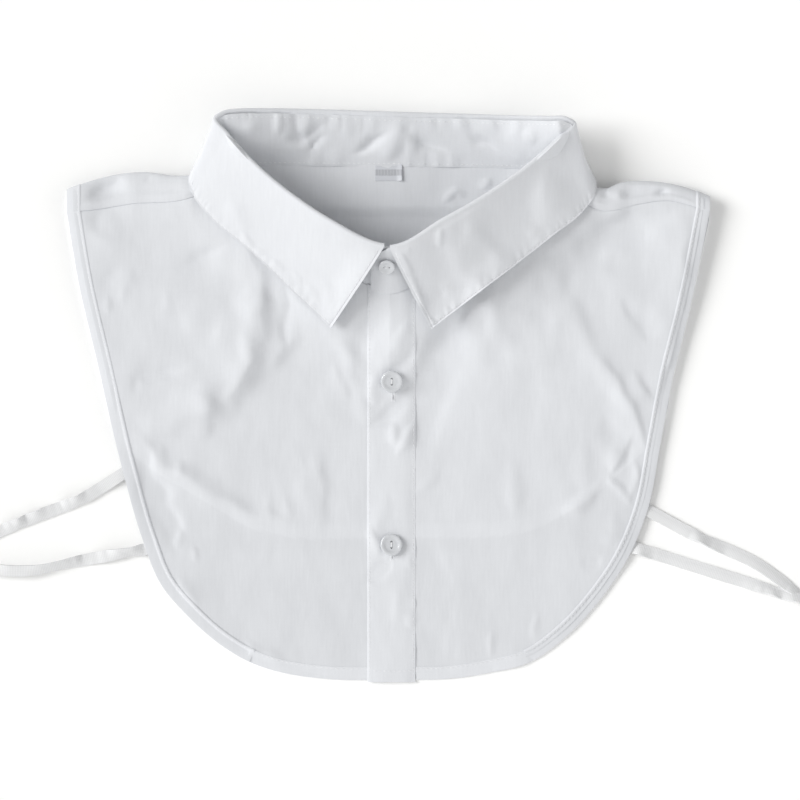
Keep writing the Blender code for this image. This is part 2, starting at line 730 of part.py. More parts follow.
def front_button(name, x, y):
    """A button on the placket, square to it."""
    here = on_front(Vector((x, y)), LAYER)
    slope_y = (front_height(x, y + 3) - front_height(x, y - 3)) / 6
    out = Vector((0.0, -slope_y, 1.0)).normalized()
    button(name, here + out * (WALL / 2 + 2 * GAP), out, FRONT_BUTTON, 0.0)


def collar_button():
    neck, fold, up, out, square = collar_frame(ROUND + 0.02)
    here = neck.lerp(fold, 0.56) - out * FOLD_RADIUS * 0.5
    button("collar_button", here + out * (WALL / 2 + 2 * GAP), out, COLLAR_BUTTON, math.pi / 2)


clear_scene()
sheet("back_panel", back_panel_surface(), BACK_COLUMNS, 13)
sheet("front_button_side", front_panel("left"), FRONT_COLUMNS, FRONT_ROWS)
sheet("front_hole_side", front_panel("right"), FRONT_COLUMNS, FRONT_ROWS)
sheet("placket", placket_surface, 3, FRONT_ROWS + 1)
sheet("collar_stand", stand_surface, ROUND * COLUMNS_PER_ROW + 2 * LAP_COLUMNS, 2)
sheet("collar_leaf", leaf_surface, ROUND * COLUMNS_PER_ROW, 10)
for side in HALVES:
    sheet("side_binding_" + side, binding_surface(side), 50, 1, BAND)
    sheet("front_hem_" + side, front_hem_surface(side), 8, 1, BAND)
sheet("back_hem", back_hem_surface, 12, 1, BAND)
sheet("size_label", label_surface, 3, 2, look_name="satin")
sheet("elastic_left", elastic_surface(ELASTIC_LEFT), 50, 1, look_name="elastic")
sheet("elastic_right", elastic_surface(ELASTIC_RIGHT), 50, 1, look_name="elastic")
collar_button()
front_button("front_button_upper", 1.2, 8.0)
front_button("front_button_lower", 1.0, -73.8)
for obj in bpy.data.objects:
    obj.location -= Vector(MIDDLE) * MM
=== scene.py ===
import math
from typing import NamedTuple

import bmesh
import bpy
import numpy as np
from mathutils import Matrix, Vector


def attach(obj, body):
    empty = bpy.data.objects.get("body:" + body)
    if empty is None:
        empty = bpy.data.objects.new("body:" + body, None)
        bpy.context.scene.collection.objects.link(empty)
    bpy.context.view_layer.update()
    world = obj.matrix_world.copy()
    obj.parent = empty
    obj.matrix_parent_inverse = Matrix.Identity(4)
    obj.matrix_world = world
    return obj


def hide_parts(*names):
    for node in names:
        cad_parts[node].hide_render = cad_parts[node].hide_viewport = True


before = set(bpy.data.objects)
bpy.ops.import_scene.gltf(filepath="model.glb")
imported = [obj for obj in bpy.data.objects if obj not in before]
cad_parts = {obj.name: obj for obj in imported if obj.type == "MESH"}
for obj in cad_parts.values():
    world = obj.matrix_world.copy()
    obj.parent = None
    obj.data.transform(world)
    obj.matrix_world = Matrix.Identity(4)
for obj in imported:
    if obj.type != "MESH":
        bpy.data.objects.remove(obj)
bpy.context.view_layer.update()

# Cloth is worked out in mm: X across the chest, Y from hem to collar, Z up from the table.
mm = 0.001
middle = np.array((-0.5, 0.84, 0.0))  # of the finished garment, brought to the origin

cloth = {
    "panel": 0.5,  # thickness of one layer
    "doubled": 1.1,  # bindings and hems
    "leaf": 0.9,
    "stand": 1.1,
    "edgeRound": 0.16,
    "tuck": 3.5,  # how far a panel runs into its binding
    "under": 1.6,  # how far a front runs under the back at the shoulder seam
}


# Curves, folds and other helpers that all pieces share.
def ease(low, high, value):  # 0 below low, 1 above high, soft between
    t = np.clip((value - low) / (high - low), 0.0, 1.0)
    return t * t * (3 - 2 * t)


def unit(vectors):
    return vectors / np.linalg.norm(vectors, axis=-1, keepdims=True)


def col(values):  # numbers as a column beside points
    return np.asarray(values, float)[..., None]


def between(stops, values, place):  # from value to value without corners
    step = np.clip(np.searchsorted(stops, place) - 1, 0, len(stops) - 2)
    t = ease(0.0, 1.0, (place - stops[step]) / (stops[step + 1] - stops[step]))
    return values[step] * (1 - t) + values[step + 1] * t


def stack(*columns):
    return np.stack(np.broadcast_arrays(*columns), axis=-1)


class Course:  # a smooth curve through points, read by its length from 0 to 1, or by row number
    def __init__(self, points, byRow=False, closed=False):
        self.points = np.array(points, float)
        self.byRow = byRow
        steps = np.linalg.norm(np.diff(self.points, axis=0), axis=1)
        self.marks = np.concatenate([[0.0], np.cumsum(steps)])
        ways = np.diff(self.points, axis=0) / col(steps)
        near, far = col(steps[:-1]), col(steps[1:])
        bends = (ways[:-1] * far + ways[1:] * near) / (near + far)
        self.slopes = np.vstack([ways[:1], bends, ways[-1:]])
        if closed:
            joined = (ways[-1] * steps[0] + ways[0] * steps[-1]) / (steps[0] + steps[-1])
            self.slopes[0] = joined
            self.slopes[-1] = joined

    def at(self, place):
        place = np.asarray(place, float)
        last = len(self.points) - 2
        if self.byRow:
            row = np.clip(place.astype(int), 0, last)
            t = place - row
        else:
            length = np.clip(place, 0.0, 1.0) * self.marks[-1]
            row = np.clip(np.searchsorted(self.marks, length, side="right") - 1, 0, last)
            t = (length - self.marks[row]) / (self.marks[row + 1] - self.marks[row])
        step = col(self.marks[row + 1] - self.marks[row])
        return bend(self.points[row], self.slopes[row] * step, self.points[row + 1],
                    self.slopes[row + 1] * step, col(t))

    def along(self, place):
        near = 0.02 if self.byRow else 0.004
        return unit(self.at(np.asarray(place) + near) - self.at(np.asarray(place) - near))


def bend(start, leave, end, arrive, t):
    return (
        start * (2 * t**3 - 3 * t**2 + 1)
        + leave * (t**3 - 2 * t**2 + t)
        + end * (3 * t**2 - 2 * t**3)
        + arrive * (t**3 - t**2)
    )


class Crease(NamedTuple):  # a fold or furrow left in the cloth, in mm
    line: list
    lit: float  # width of the flank that faces the window
    shaded: float
    height: float  # below zero for a furrow


window = (-0.966, 0.259)  # the way the light comes from, in plan


def relief(creases, x, y):
    lift = np.zeros_like(x)
    for crease in creases:
        line = Course(crease.line).at(np.linspace(0, 1, 5 * len(crease.line)))
        reach = 2.6 * max(crease.lit, crease.shaded)  # past this the fold is too low to see
        low, high = line.min(axis=0) - reach, line.max(axis=0) + reach
        here = (x > low[0]) & (x < high[0]) & (y > low[1]) & (y < high[1])
        if not here.any():
            continue
        px = x[here] + 1.3 * mottle(x[here], y[here], 6, 6, 11)
        py = y[here] + 1.3 * mottle(x[here], y[here], 6, 6, 12)
        nearest = np.full(px.shape, 1e9)
        facing = np.zeros_like(px)
        share = np.zeros_like(px)
        for step, (start, end) in enumerate(zip(line, line[1:])):
            way = end - start
            t = np.clip(((px - start[0]) * way[0] + (py - start[1]) * way[1]) / (way @ way), 0, 1)
            dx = px - start[0] - t * way[0]
            dy = py - start[1] - t * way[1]
            distance = np.hypot(dx, dy)
            nearer = distance < nearest
            nearest = np.where(nearer, distance, nearest)
            facing = np.where(nearer, dx * window[0] + dy * window[1], facing)
            share = np.where(nearer, (step + t) / (len(line) - 1), share)
        taper = 0.45 + 0.55 * np.sin(math.pi * np.clip(share, 0.05, 0.95))
        width = np.where(facing > 0, crease.lit, crease.shaded) * taper
        fade = ease(-0.05, 0.4, share) * (1 - ease(0.6, 1.05, share))
        uneven = 1 + 0.3 * mottle(px, py, 7, 9, 13)
        lift[here] += crease.height * uneven * fade * np.exp(-((nearest / width) ** 2))
    return lift


def mottle(x, y, wide, tall, seed):  # soft, uneven ups and downs of a given size, about -1 to 1
    lattice = np.random.default_rng(seed).uniform(-2.2, 2.2, (64, 64))
    column, row = np.floor(x / wide), np.floor(y / tall)

    def shares(t):  # weights of the four knots round a place
        second = (3 * t**3 - 6 * t**2 + 4) / 6
        third = (3 * t**2 + 3 * t - 3 * t**3 + 1) / 6
        return (1 - t) ** 3 / 6, second, third, t**3 / 6

    total = np.zeros_like(x)
    for i, ofColumn in enumerate(shares(x / wide - column)):
        for j, ofRow in enumerate(shares(y / tall - row)):
            knots = lattice[(column + i).astype(int) % 64, (row + j).astype(int) % 64]
            total += ofColumn * ofRow * knots
    return total


def crumple(x, y):  # the unevenness of cloth that has been washed and pressed
    broad = 0.45 * mottle(x, y, 24, 32, 3)
    middling = 0.24 * mottle(x, y, 9, 14, 5)
    return broad + middling + 0.07 * mottle(x, y, 3.6, 6, 8)


def ripple(place, pitch, turn=0.0):  # uneven puckers along a seam, from -1 to 1
    slow = np.sin(place * math.tau / (pitch * 3.7) + turn)
    fast = np.sin(place * math.tau / pitch + 1.8 * slow + turn * 2)
    return fast * (0.65 + 0.35 * np.sin(place * math.tau / (pitch * 2.3) + turn * 3))


# The folds this garment lies with.
creased = {"front": 2.0, "back": 2.0, "stand": 2.4, "leaf": 1.6}  # how deep they are pressed in each piece
frontCreases = [
    # broad fold under the left leaf
    Crease([(-72, 76), (-65, 52), (-64, 33), (-71, 15), (-84, -2)], 11, 5.5, 1.3),
    Crease([(-64, 58), (-70, 44), (-84, 14)], 34, 14, 1.1),
    Crease([(-80, 15.5), (-88, 2.5), (-92, -11.5), (-93, -22.5)], 7, 5, 0.6),
    Crease([(-40, 40), (-63, 17), (-87, -2), (-112, -14), (-142, -26)], 17, 8, 1.35),
    Crease([(-51, 58), (-51, 40), (-53, 22)], 2.5, 2.5, -0.4),  # furrow below the left point
    Crease([(-53, 55.5), (-39, 41.5), (-22, 25.5), (-8, 9.5)], 5, 5, 0.75),  # beside the left leaf
    Crease([(-24, 27), (-15, 8), (-10, -18)], 5, 4, 0.4),
    Crease([(-146, 116), (-145, 98), (-144, 78)], 6, 15, -0.9),  # left shoulder
    Crease([(-104, 108), (-101, 98), (-99, 88)], 14, 5, 0.6),
    Crease([(50, 50), (80, 66), (104, 78), (124, 84), (160, 90)], 10, 15, -1.3),  # right shoulder
    Crease([(84, 70), (100, 78), (120, 86), (146, 93)], 8, 14, -1.3),
    Crease([(28, 27), (48, 38), (66, 50), (90, 68)], 15, 30, 1.6),
    Crease([(100, 92), (116, 97), (132, 99), (146, 100)], 3, 7, 0.4),
    Crease([(-30, 16.5), (-20, -1.5)], 4.5, 4, 0.3),
    Crease([(-82, 76.5), (-93, 69.5), (-104, 61.5)], 4.5, 5.5, -0.5),  # from the left shoulder
    Crease([(-136, 92.5), (-143, 81), (-146, 67.5)], 6, 8, 0.4),
    Crease([(-134, 66), (-141, 60.5), (-146, 53)], 3.5, 3.5, -0.35),
    Crease([(-143, 51.5), (-141, 41.5)], 2, 2, 0.28),
    Crease([(-132, 10), (-117, 12), (-98, 17)], 4.5, 4.5, -0.6),
    Crease([(-127, 10.5), (-125, 0.5)], 3, 3, -0.22),
    Crease([(-110, 53.5), (-114, 36.5)], 3, 3.5, 0.22),
    Crease([(-131, 64.5), (-133, 47.5)], 4.5, 5, 0.28),
    # furrow over the back's left corner, and the crumples below it
    Crease([(-132, -14), (-118, -30), (-101, -42), (-80, -53), (-50, -64)], 8, 5, 0.8),
    Crease([(-124, -24), (-115, -46), (-110, -60), (-105, -82)], 8, 4, -1.3),
    Crease([(-107, -63.5), (-106, -77.5)], 2.5, 2.5, 0.7),
    Crease([(-98, -74.5), (-97, -82.5)], 2, 2, 0.22),
    Crease([(-106, -30.5), (-105, -40.5)], 2.5, 3, 0.3),
    Crease([(-115, -23.5), (-113, -31.5)], 2, 2.5, 0.2),
    Crease([(-105, -90.5), (-96, -105.5)], 2.5, 4.5, 0.4),
    Crease([(-73, -120.5), (-64, -127), (-52, -129.5)], 3, 3, 0.3),
    Crease([(-45, -26.5), (-41, -46.5), (-39, -62.5)], 4.5, 4.5, 0.22),
    Crease([(-60, -45.5), (-62, -54.5), (-59, -64.5)], 2, 2.5, 0.14),
    Crease([(-52, -46.5), (-51, -55.5), (-53, -63.5)], 2, 2.5, 0.14),
    # arc under the right leaf
    Crease([(78, 62), (89, 47.5), (99, 29.5), (109, 15.5), (121, -0.5), (129, -17)], 8, 6, 0.7),
    Crease([(116, 49.5), (124, 38), (131, 26)], 2.5, 6, -0.4),
    Crease([(119, 14.5), (125, 6.5), (132, -2.5)], 7, 2, 0.6),
    Crease([(42, 70), (33, 48), (28, 28), (23, 8), (13, -32)], 8, 10, -1.9),  # furrow beside the placket
    # crumpled right corner, over the back's corner
    Crease([(104, 22), (118, 0.5), (125, -13.5), (129, -29)], 6, 2.5, 0.9),
    Crease([(107, -8), (113, -20), (120, -34)], 6, 5, -0.7),
    Crease([(120, -18.5), (111, -38.5)], 5.5, 2, 0.8),
    Crease([(119, -30.5), (123, -38.5), (120, -52.5)], 2.5, 2, 0.6),
    Crease([(108, -40.5), (123, -52.5)], 2.5, 2, 0.55),
    Crease([(105, -41.5), (97, -52.5), (84, -58.5)], 3.5, 3.5, 0.6),
    Crease([(24, -35.5), (15, -48)], 2.5, 2.5, 0.25),
    Crease([(96, -85), (106, -79.5)], 3, 3, -0.28),
    Crease([(112, -55.5), (109, -75.5)], 4.5, 4.5, 0.28),
    Crease([(74, -107.5), (73, -124.5)], 3, 2.5, 0.3),
    Crease([(49, -116.5), (50, -128.5)], 2, 2.5, 0.2),
    Crease([(20, -70), (21, -98), (24, -132)], 7, 8, -0.8),
    Crease([(61, -28), (62, -58)], 5, 5, 0.28),
    Crease([(97, -20), (98, -48)], 6, 4, 0.28),
    Crease([(-36, -24), (-34, -68)], 7, 4, 0.6),
    Crease([(-30, 12), (-29, -20)], 6, 6, 0.22),
    Crease([(150, 99), (147, 77), (143, 46), (136, 14), (128, -18)], 8, 3, 0.6),
    # across the placket
    Crease([(12, 38), (5, 27), (-3, 20)], 3, 3, 0.35),
    Crease([(16, 30), (7, 19), (-7, 11)], 3, 4, -0.5),
    Crease([(-9, 12), (-8, -5)], 2.5, 3.5, 0.45),
    Crease([(14, 7), (3, -5), (-13, -16)], 3, 3.5, -0.6),
    Crease([(14, -9), (4, -32)], 3, 3.5, 0.5),
    Crease([(0, -12), (3, -27)], 3, 3, 0.4),
    Crease([(1, -81), (-5, -87), (-12, -92)], 3, 3, -0.7),
    Crease([(-9, -62), (-7, -82)], 2.5, 2.5, 0.5),
    Crease([(-4, -46), (-6, -70)], 4, 4, 0.4),
    Crease([(10, -77), (11, -87)], 2, 2, 0.2),
    Crease([(10, -105), (11, -117)], 2, 2, 0.2),
    Crease([(7, -90), (2, -115)], 4, 4, 0.25),
    Crease([(8, 66), (0, 48), (-7, 36), (-12, 24), (-14, 4)], 7.5, 14, -1.1),  # below the left point
]
backCreases = [
    Crease([(-134, 110), (-143, 104), (-153, 96)], 4, 9, -1.6),  # left shoulder
    Crease([(-160, 95), (-128, 99), (-84, 101)], 3, 3, -0.5),
    Crease([(-119, 113.5), (-121, 107)], 1.2, 1.2, -0.3),
    Crease([(104.5, 102), (102, 96), (99, 89.5)], 5, 2, 0.8),  # right shoulder
    Crease([(108.5, 105), (108, 99)], 2, 2, -0.6),
    Crease([(115.5, 106), (115.5, 98.5)], 3.5, 2, 0.55),
    Crease([(119, 106.5), (128, 106.8), (138, 105.5)], 1.5, 1.5, 0.3),
    Crease([(135.5, 106), (136.5, 96)], 3.5, 2.5, -1.1),
    Crease([(112, 102), (124, 102), (137, 101)], 4, 4, -0.6),
    Crease([(131, 104.5), (130.5, 98)], 2.5, 2, 0.35),
    Crease([(33, 107.5), (28, 97.5)], 2.5, 2, 0.45),  # smudge folds inside the neck
    Crease([(32, 106.5), (37, 97.5)], 2, 2.5, 0.35),
    Crease([(50, 110), (46, 102.5)], 2, 2, 0.35),
]
standCreases = [
    Crease([(-78, 150), (-76, 130), (-74, 110)], 6, 26, 1.5),  # it rises towards both rounded ends
    Crease([(86, 150), (84, 130), (82, 110)], 34, 5, 2.2),
    # long slanting puckers
    Crease([(-31, 138), (-43, 130.5), (-53, 126.5)], 2.5, 2.5, -0.5),
    Crease([(-1, 134), (-9, 128.5), (-17, 122)], 2, 2, -0.9),
    Crease([(-32.5, 132), (-37, 127.5), (-41, 123)], 1.8, 1.8, -0.7),
    Crease([(5, 139.5), (2, 129), (-2, 118)], 5, 3, 0.9),  # tent below the middle
    Crease([(6, 139.5), (9.5, 129), (13, 117.5)], 3, 2, 0.5),
    Crease([(6.5, 139), (7.5, 131.5)], 1, 1, -0.5),
    Crease([(7, 133), (16, 128), (30, 122)], 2, 3.5, -0.6),
    Crease([(37, 132), (46, 127), (57, 122.5)], 2.5, 3, -0.7),
    Crease([(69, 135.5), (71, 125.5)], 3, 2.5, 0.5),
    # short ones hanging from the upper seam
    Crease([(-54, 144), (-57, 128)], 2, 1.6, 0.5),
    Crease([(-46, 144), (-45, 131)], 1.6, 1.6, -0.3),
    Crease([(-39, 144), (-42, 128)], 2, 1.5, 0.5),
    Crease([(-32, 144), (-30, 130)], 1.5, 1.8, -0.35),
    Crease([(-26, 144), (-28, 130)], 1.8, 1.3, 0.5),
    Crease([(-19.5, 144), (-22, 128)], 2, 1.5, 0.5),
    Crease([(-14, 144), (-16, 131)], 1.5, 1.3, 0.35),
    Crease([(-8, 144), (-9, 131)], 1.6, 1.3, 0.4),
    Crease([(20, 144), (23, 131)], 1.8, 1.6, 0.3),
    Crease([(28, 144), (30, 132)], 1.6, 1.6, 0.25),
    Crease([(35, 144), (38, 129)], 2.2, 1.6, 0.5),
    Crease([(50, 144), (53, 131)], 1.8, 1.6, 0.3),
    Crease([(62, 143), (65, 128)], 2.2, 2.2, 0.3),
    Crease([(82, 147), (85, 129)], 1.5, 1.5, 0.3),
    # short ones standing on the neck seam
    Crease([(9, 125), (12, 111)], 1.8, 1.6, 0.3),
    Crease([(16, 125), (18, 111)], 1.6, 1.6, 0.3),
    Crease([(24, 126), (24, 111)], 1.8, 1.6, 0.35),
    Crease([(31, 125), (30, 111)], 1.6, 1.6, 0.3),
    Crease([(-36, 125), (-39, 112)], 2.5, 2.5, 0.25),
    Crease([(-24, 127), (-28, 112)], 3, 3, 0.3),
]
leafCreases = [
    # right leaf
    Crease([(1, 80), (5, 71), (14, 53), (17.5, 44), (23, 30)], 5, 2.5, 0.8),
    Crease([(32, 96), (43, 73), (48, 56), (45, 34)], 16, 13, 2.2),
    Crease([(10, 75.5), (7, 69.5)], 2, 2, 0.35),
    Crease([(80, 118), (78, 100), (75, 82)], 7, 11, 1.2),
    Crease([(45, 101.5), (45, 94.5)], 3, 1, 0.5),
    Crease([(27, 84.5), (24, 75.5)], 3, 2, 0.4),
    Crease([(-16, 6), (27, 37), (44, 50), (60, 64), (78, 79.5), (112, 104)], 12, 4, 1.5),  # faces the light
    Crease([(25, 57.5), (40, 64.5), (55, 71.5)], 5, 5, -0.3),
    Crease([(74, 85.5), (70, 78.5)], 4, 2.5, 0.4),
    Crease([(17, 48.5), (30, 52.5)], 4, 4, -0.3),
    # left leaf
    Crease([(-74, 84), (-66, 74)], 2.5, 2, 0.25),  # unevenness along the outer seam
    Crease([(-67, 76), (-60, 70)], 2, 1.6, 0.25),
    Crease([(-60, 71), (-52, 63)], 2, 1.6, 0.25),
    Crease([(-49, 64), (-43, 56)], 2, 1.6, 0.25),
    Crease([(-40, 57), (-35, 48)], 2, 1.6, 0.22),
    Crease([(-36, 62.5), (-32, 52.5), (-30, 42.5)], 3, 2.5, 0.35),
    Crease([(-29, 49.5), (-28, 38.5)], 1.5, 1.5, 0.2),
    Crease([(-25, 49.5), (-26, 39.5)], 1.5, 1.5, 0.2),
    Crease([(-79, 100.5), (-75, 91.5), (-72, 80.5)], 7, 5, 0.5),
    Crease([(-36, 85.5), (-25, 80.5), (-16, 79.5)], 4, 4, -0.35),
]

# How the bib lies.
neckline = {
    "back": 116.0,
    "halfWidth": 92.0,
    "depth": 62.5,
    "roundness": 1.25,  # 1 is a V, 2 a round neck
    "height": 19.7,  # of the seam at the front
    "overFlat": 0.4,
    "heightLost": 0.11,  # for each mm out to the side
    "slopeFront": 0.95,  # how far the cloth slopes down from the seam, as a share of the neckline
    "slopeSide": 0.5,
}
lying = {
    "overBack": 2.5,  # height of the fronts where the back is under them
    "onTable": 1.0,
    "backFoot": -75.0,
    "tableReached": -92.0,
    "rightHigher": 0.9,
    "room": 1.3,  # taken up by the back and the front's own thickness
}
shoulderLift = {
    "height": 5.0,
    "from": -80.0,
    "to": 100.0,
    "width": 100.0,
    "rightFrom": 25.0,  # the right edge stays low for longer
    "rightTo": 108.0,
}


def frontHeight(x, y):  # middle of the front layer over the table, as pressed flat
    halfWidth, roundness = neckline["halfWidth"], neckline["roundness"]
    down = np.maximum(0.0, neckline["back"] - y) / neckline["depth"]
    reach = ((np.abs(x) / halfWidth) ** roundness + down**roundness) ** (1 / roundness)
    reach = np.maximum(1.0, reach)
    drop = lying["overBack"] - lying["onTable"]
    flat = lying["onTable"] + drop * ease(lying["tableReached"], lying["backFoot"], y)

    def shoulder(across, up):  # how much the bib rises towards the shoulders
        risen = ease(shoulderLift["from"], shoulderLift["to"], up)
        late = ease(shoulderLift["rightFrom"], shoulderLift["rightTo"], up)
        risen = risen + 0.5 * (late - risen) * ease(40.0, 130.0, across)
        return shoulderLift["height"] * risen * ease(0.0, shoulderLift["width"], np.abs(across))

    seamX = x / reach
    seamY = neckline["back"] - (neckline["back"] - y) / reach
    atSeam = neckline["height"] - neckline["heightLost"] * np.abs(seamX) - lying["overBack"]
    atSeam = atSeam + neckline["overFlat"]
    atSeam = atSeam - shoulder(seamX, seamY)
    shorter = neckline["slopeFront"] - neckline["slopeSide"]
    run = neckline["slopeFront"] - shorter * (seamX / halfWidth) ** 2
    left = 1 - np.minimum(1.0, (reach - 1) / run)
    return flat + shoulder(x, y) + atSeam * left**2 * (2 - left)


def backHeight(x, y):
    leafUnder = ease(88.0, 96.0, y) * ease(-108.0, -101.0, -np.abs(x))
    return 0.5 + 1.6 * leafUnder


def onFront(plan, over=0.0, rumpled=1.0):  # points in plan laid on the fronts, over their middle
    x, y = plan[..., 0], plan[..., 1]
    slopeX = (frontHeight(x + 1, y) - frontHeight(x - 1, y)) / 2
    slopeY = (frontHeight(x, y + 1) - frontHeight(x, y - 1)) / 2
    z = frontHeight(x, y) + over * np.sqrt(1 + slopeX**2 + slopeY**2)
    folds = creased["front"] * relief(frontCreases, x, y)
    room = np.maximum(0.5, frontHeight(x, y) - lying["room"])
    folds = np.where(folds < 0, -room * np.tanh(-folds / room), folds)  # the back lies under the furrows
    higher = lying["rightHigher"] * ease(20.0, 125.0, x)
    return stack(x, y, z + rumpled * (folds + crumple(x, y)) + higher)


def onBack(plan, over=0.0):
    return stack(plan[..., 0], plan[..., 1], backHeight(plan[..., 0], plan[..., 1]) + over)


class CollarSection(NamedTuple):  # one cut across the collar
    neck: tuple  # seam of stand and bib
    fold: tuple  # crest of the fold
    edge: tuple  # outer edge of the leaf


collarSections = [  # round the neck from the front: up the left side, along the back, down the right
    CollarSection((-0.8, 53.5, 19.6), (-0.8, 75.5, 36.0), (-27.8, 33.3, 14.2)),
    CollarSection((-29.3, 67.3, 16.5), (-29.3, 88.0, 35.3), (-47.3, 51.5, 15.4)),
    CollarSection((-48.3, 79.5, 14.4), (-48.3, 100.5, 32.5), (-68.8, 72.3, 15.3)),
    CollarSection((-67.3, 93.0, 12.3), (-66.8, 116.0, 28.5), (-89.8, 90.0, 13.4)),
    CollarSection((-83.8, 106.5, 10.5), (-81.3, 132.0, 24.5), (-97.8, 100.5, 12.2)),
    CollarSection((-89.3, 113.0, 8.8), (-86.8, 139.5, 21.7), (-100.0, 107.5, 11.2)),
    CollarSection((-86.3, 116.0, 7.6), (-82.8, 142.3, 19.5), (-98.0, 113.0, 6.0)),
    CollarSection((-76.3, 116.7, 6.4), (-74.8, 143.5, 17.4), (-92.0, 109.5, 0.8)),
    CollarSection((-63.8, 116.5, 5.0), (-63.8, 143.7, 14.8), (-76.3, 101.0, 0.5)),
    CollarSection((-39.8, 116.3, 3.0), (-38.8, 143.4, 10.0), (-44.8, 99.5, 0.5)),
    CollarSection((-0.8, 116.0, 2.8), (-0.8, 142.2, 8.5), (-0.8, 99.5, 0.5)),
    CollarSection((40.3, 115.5, 2.4), (40.3, 141.0, 6.6), (47.0, 99.5, 0.5)),
    CollarSection((62.8, 115.0, 4.2), (62.8, 140.2, 10.8), (78.0, 100.5, 0.5)),
    CollarSection((80.3, 114.7, 9.6), (79.3, 139.7, 19.6), (97.0, 105.0, 0.8)),
    CollarSection((90.8, 113.5, 12.0), (88.3, 139.2, 24.0), (102.5, 108.0, 6.0)),
    CollarSection((92.8, 110.5, 11.6), (91.8, 137.2, 24.2), (102.8, 102.0, 11.0)),
    CollarSection((85.3, 105.0, 11.4), (85.3, 130.5, 25.2), (96.8, 93.0, 12.0)),
    CollarSection((68.3, 92.5, 12.2), (68.3, 115.0, 28.5), (83.3, 82.0, 13.2)),
    CollarSection((48.3, 79.5, 14.4), (48.3, 101.0, 32.5), (62.3, 65.5, 13.8)),
    CollarSection((28.3, 67.5, 16.6), (28.3, 89.5, 35.3), (41.3, 49.5, 13.6)),
    CollarSection((-0.8, 53.5, 19.6), (-0.8, 75.5, 36.0), (20.3, 33.3, 13.4)),
]
shoulderRow = {"left": 4.0, "right": 16.0}  # where the shoulder seams meet the collar
rollRows = 2.6  # the rolled shoulder dies out over this many rows
rounds = len(collarSections) - 1
neckLine = Course([row.neck for row in collarSections], byRow=True, closed=True)
foldLine = Course([row.fold for row in collarSections], byRow=True, closed=True)
edgeLine = Course([row.edge for row in collarSections], byRow=True)

seams = {
    "bindingWidth": 6.5,
    "bindingEnd": 70.0,  # distance from the middle where the bindings meet the hems
    "neckSeam": 0.3,
    "seamStart": 0.01,  # the shoulder seam, as a share of the front's outline
    "ridge": 0.26,  # height of a binding's sewn edge
}


class Side(NamedTuple):  # finished outlines of one half of the bib, and its shoulder
    front: list  # from the shoulder seam round to the front centre
    back: list  # from under the shoulder seam round to the back's middle
    seam: list  # shoulder seam, from the binding in, without its neck end
    crest: list  # topmost line of the rolled shoulder, outer end first


leftSide = Side(
    front=[
        (-161.6, 95.5), (-154.8, 55.5), (-145.8, 17.0), (-133.8, -35.0), (-123.3, -71.5), (-114.0, -94.0),
        (-101.3, -109.0), (-82.8, -125.0), (-69.8, -132.5), (-52.8, -138.0), (-36.3, -140.5), (9.2, -141.3),
    ],
    back=[
        (-160.8, 89.0), (-154.8, 55.5), (-145.8, 17.0), (-138.8, -11.5), (-132.3, -25.0), (-119.8, -35.5),
        (-104.3, -45.0), (-85.8, -56.0), (-70.3, -65.0), (-52.0, -69.5), (0.0, -70.0),
    ],
    seam=[(-148.0, 93.6), (-128.8, 96.6), (-102.3, 98.8)],
    crest=[
        (-162.0, 103.5), (-157.0, 105.5), (-138.0, 111.0), (-120.0, 112.5), (-100.0, 110.5), (-88.0, 111.0),
    ],
)
rightSide = Side(
    front=[
        (160.6, 96.5), (150.3, 45.5), (141.3, 8.5), (135.3, -24.0), (128.8, -56.5), (120.3, -78.0),
        (103.8, -103.0), (87.3, -120.5), (71.3, -132.0), (49.3, -138.0), (22.3, -141.3), (9.8, -141.3),
    ],
    back=[
        (159.8, 89.0), (150.3, 45.5), (141.3, 8.5), (136.3, -14.0), (129.3, -24.5), (117.8, -35.5),
        (105.3, -46.5), (95.3, -54.0), (82.8, -61.0), (65.3, -68.0), (50.0, -69.8), (0.0, -70.0),
    ],
    seam=[(138.8, 98.2), (124.0, 96.4), (108.0, 93.0)],
    crest=[
        (161.5, 99.5), (156.0, 102.0), (138.0, 107.0), (127.0, 108.0), (110.0, 107.0), (103.0, 104.5),
        (92.0, 106.5),
    ],
)


def inwards(course, place):  # square to an outline, in plan, towards the middle of the bib
    way = course.along(place)
    square = stack(-way[..., 1], way[..., 0])
    turn = np.sign((square * -course.at(place)).sum(axis=-1))
    return square * col(turn)


def placeOfX(course, x):  # how far along an outline its foot passes the distance x from the middle
    low, high = 0.3, 1.0
    for _ in range(30):
        half = (low + high) / 2
        if abs(course.at(half)[0]) > x:
            low = half
        else:
            high = half
    return low


def patch(top, foot, left, right, u, v):  # a surface in plan between four edges
    u1, v1 = col(u), col(v)
    edges = top(u) * (1 - v1) + foot(u) * v1 + left(v) * (1 - u1) + right(v) * u1
    zero, one = np.array([0.0]), np.array([1.0])
    ofTop = top(zero) * (1 - u1) + top(one) * u1
    ofFoot = foot(zero) * (1 - u1) + foot(one) * u1
    return edges - (ofTop * (1 - v1) + ofFoot * v1)


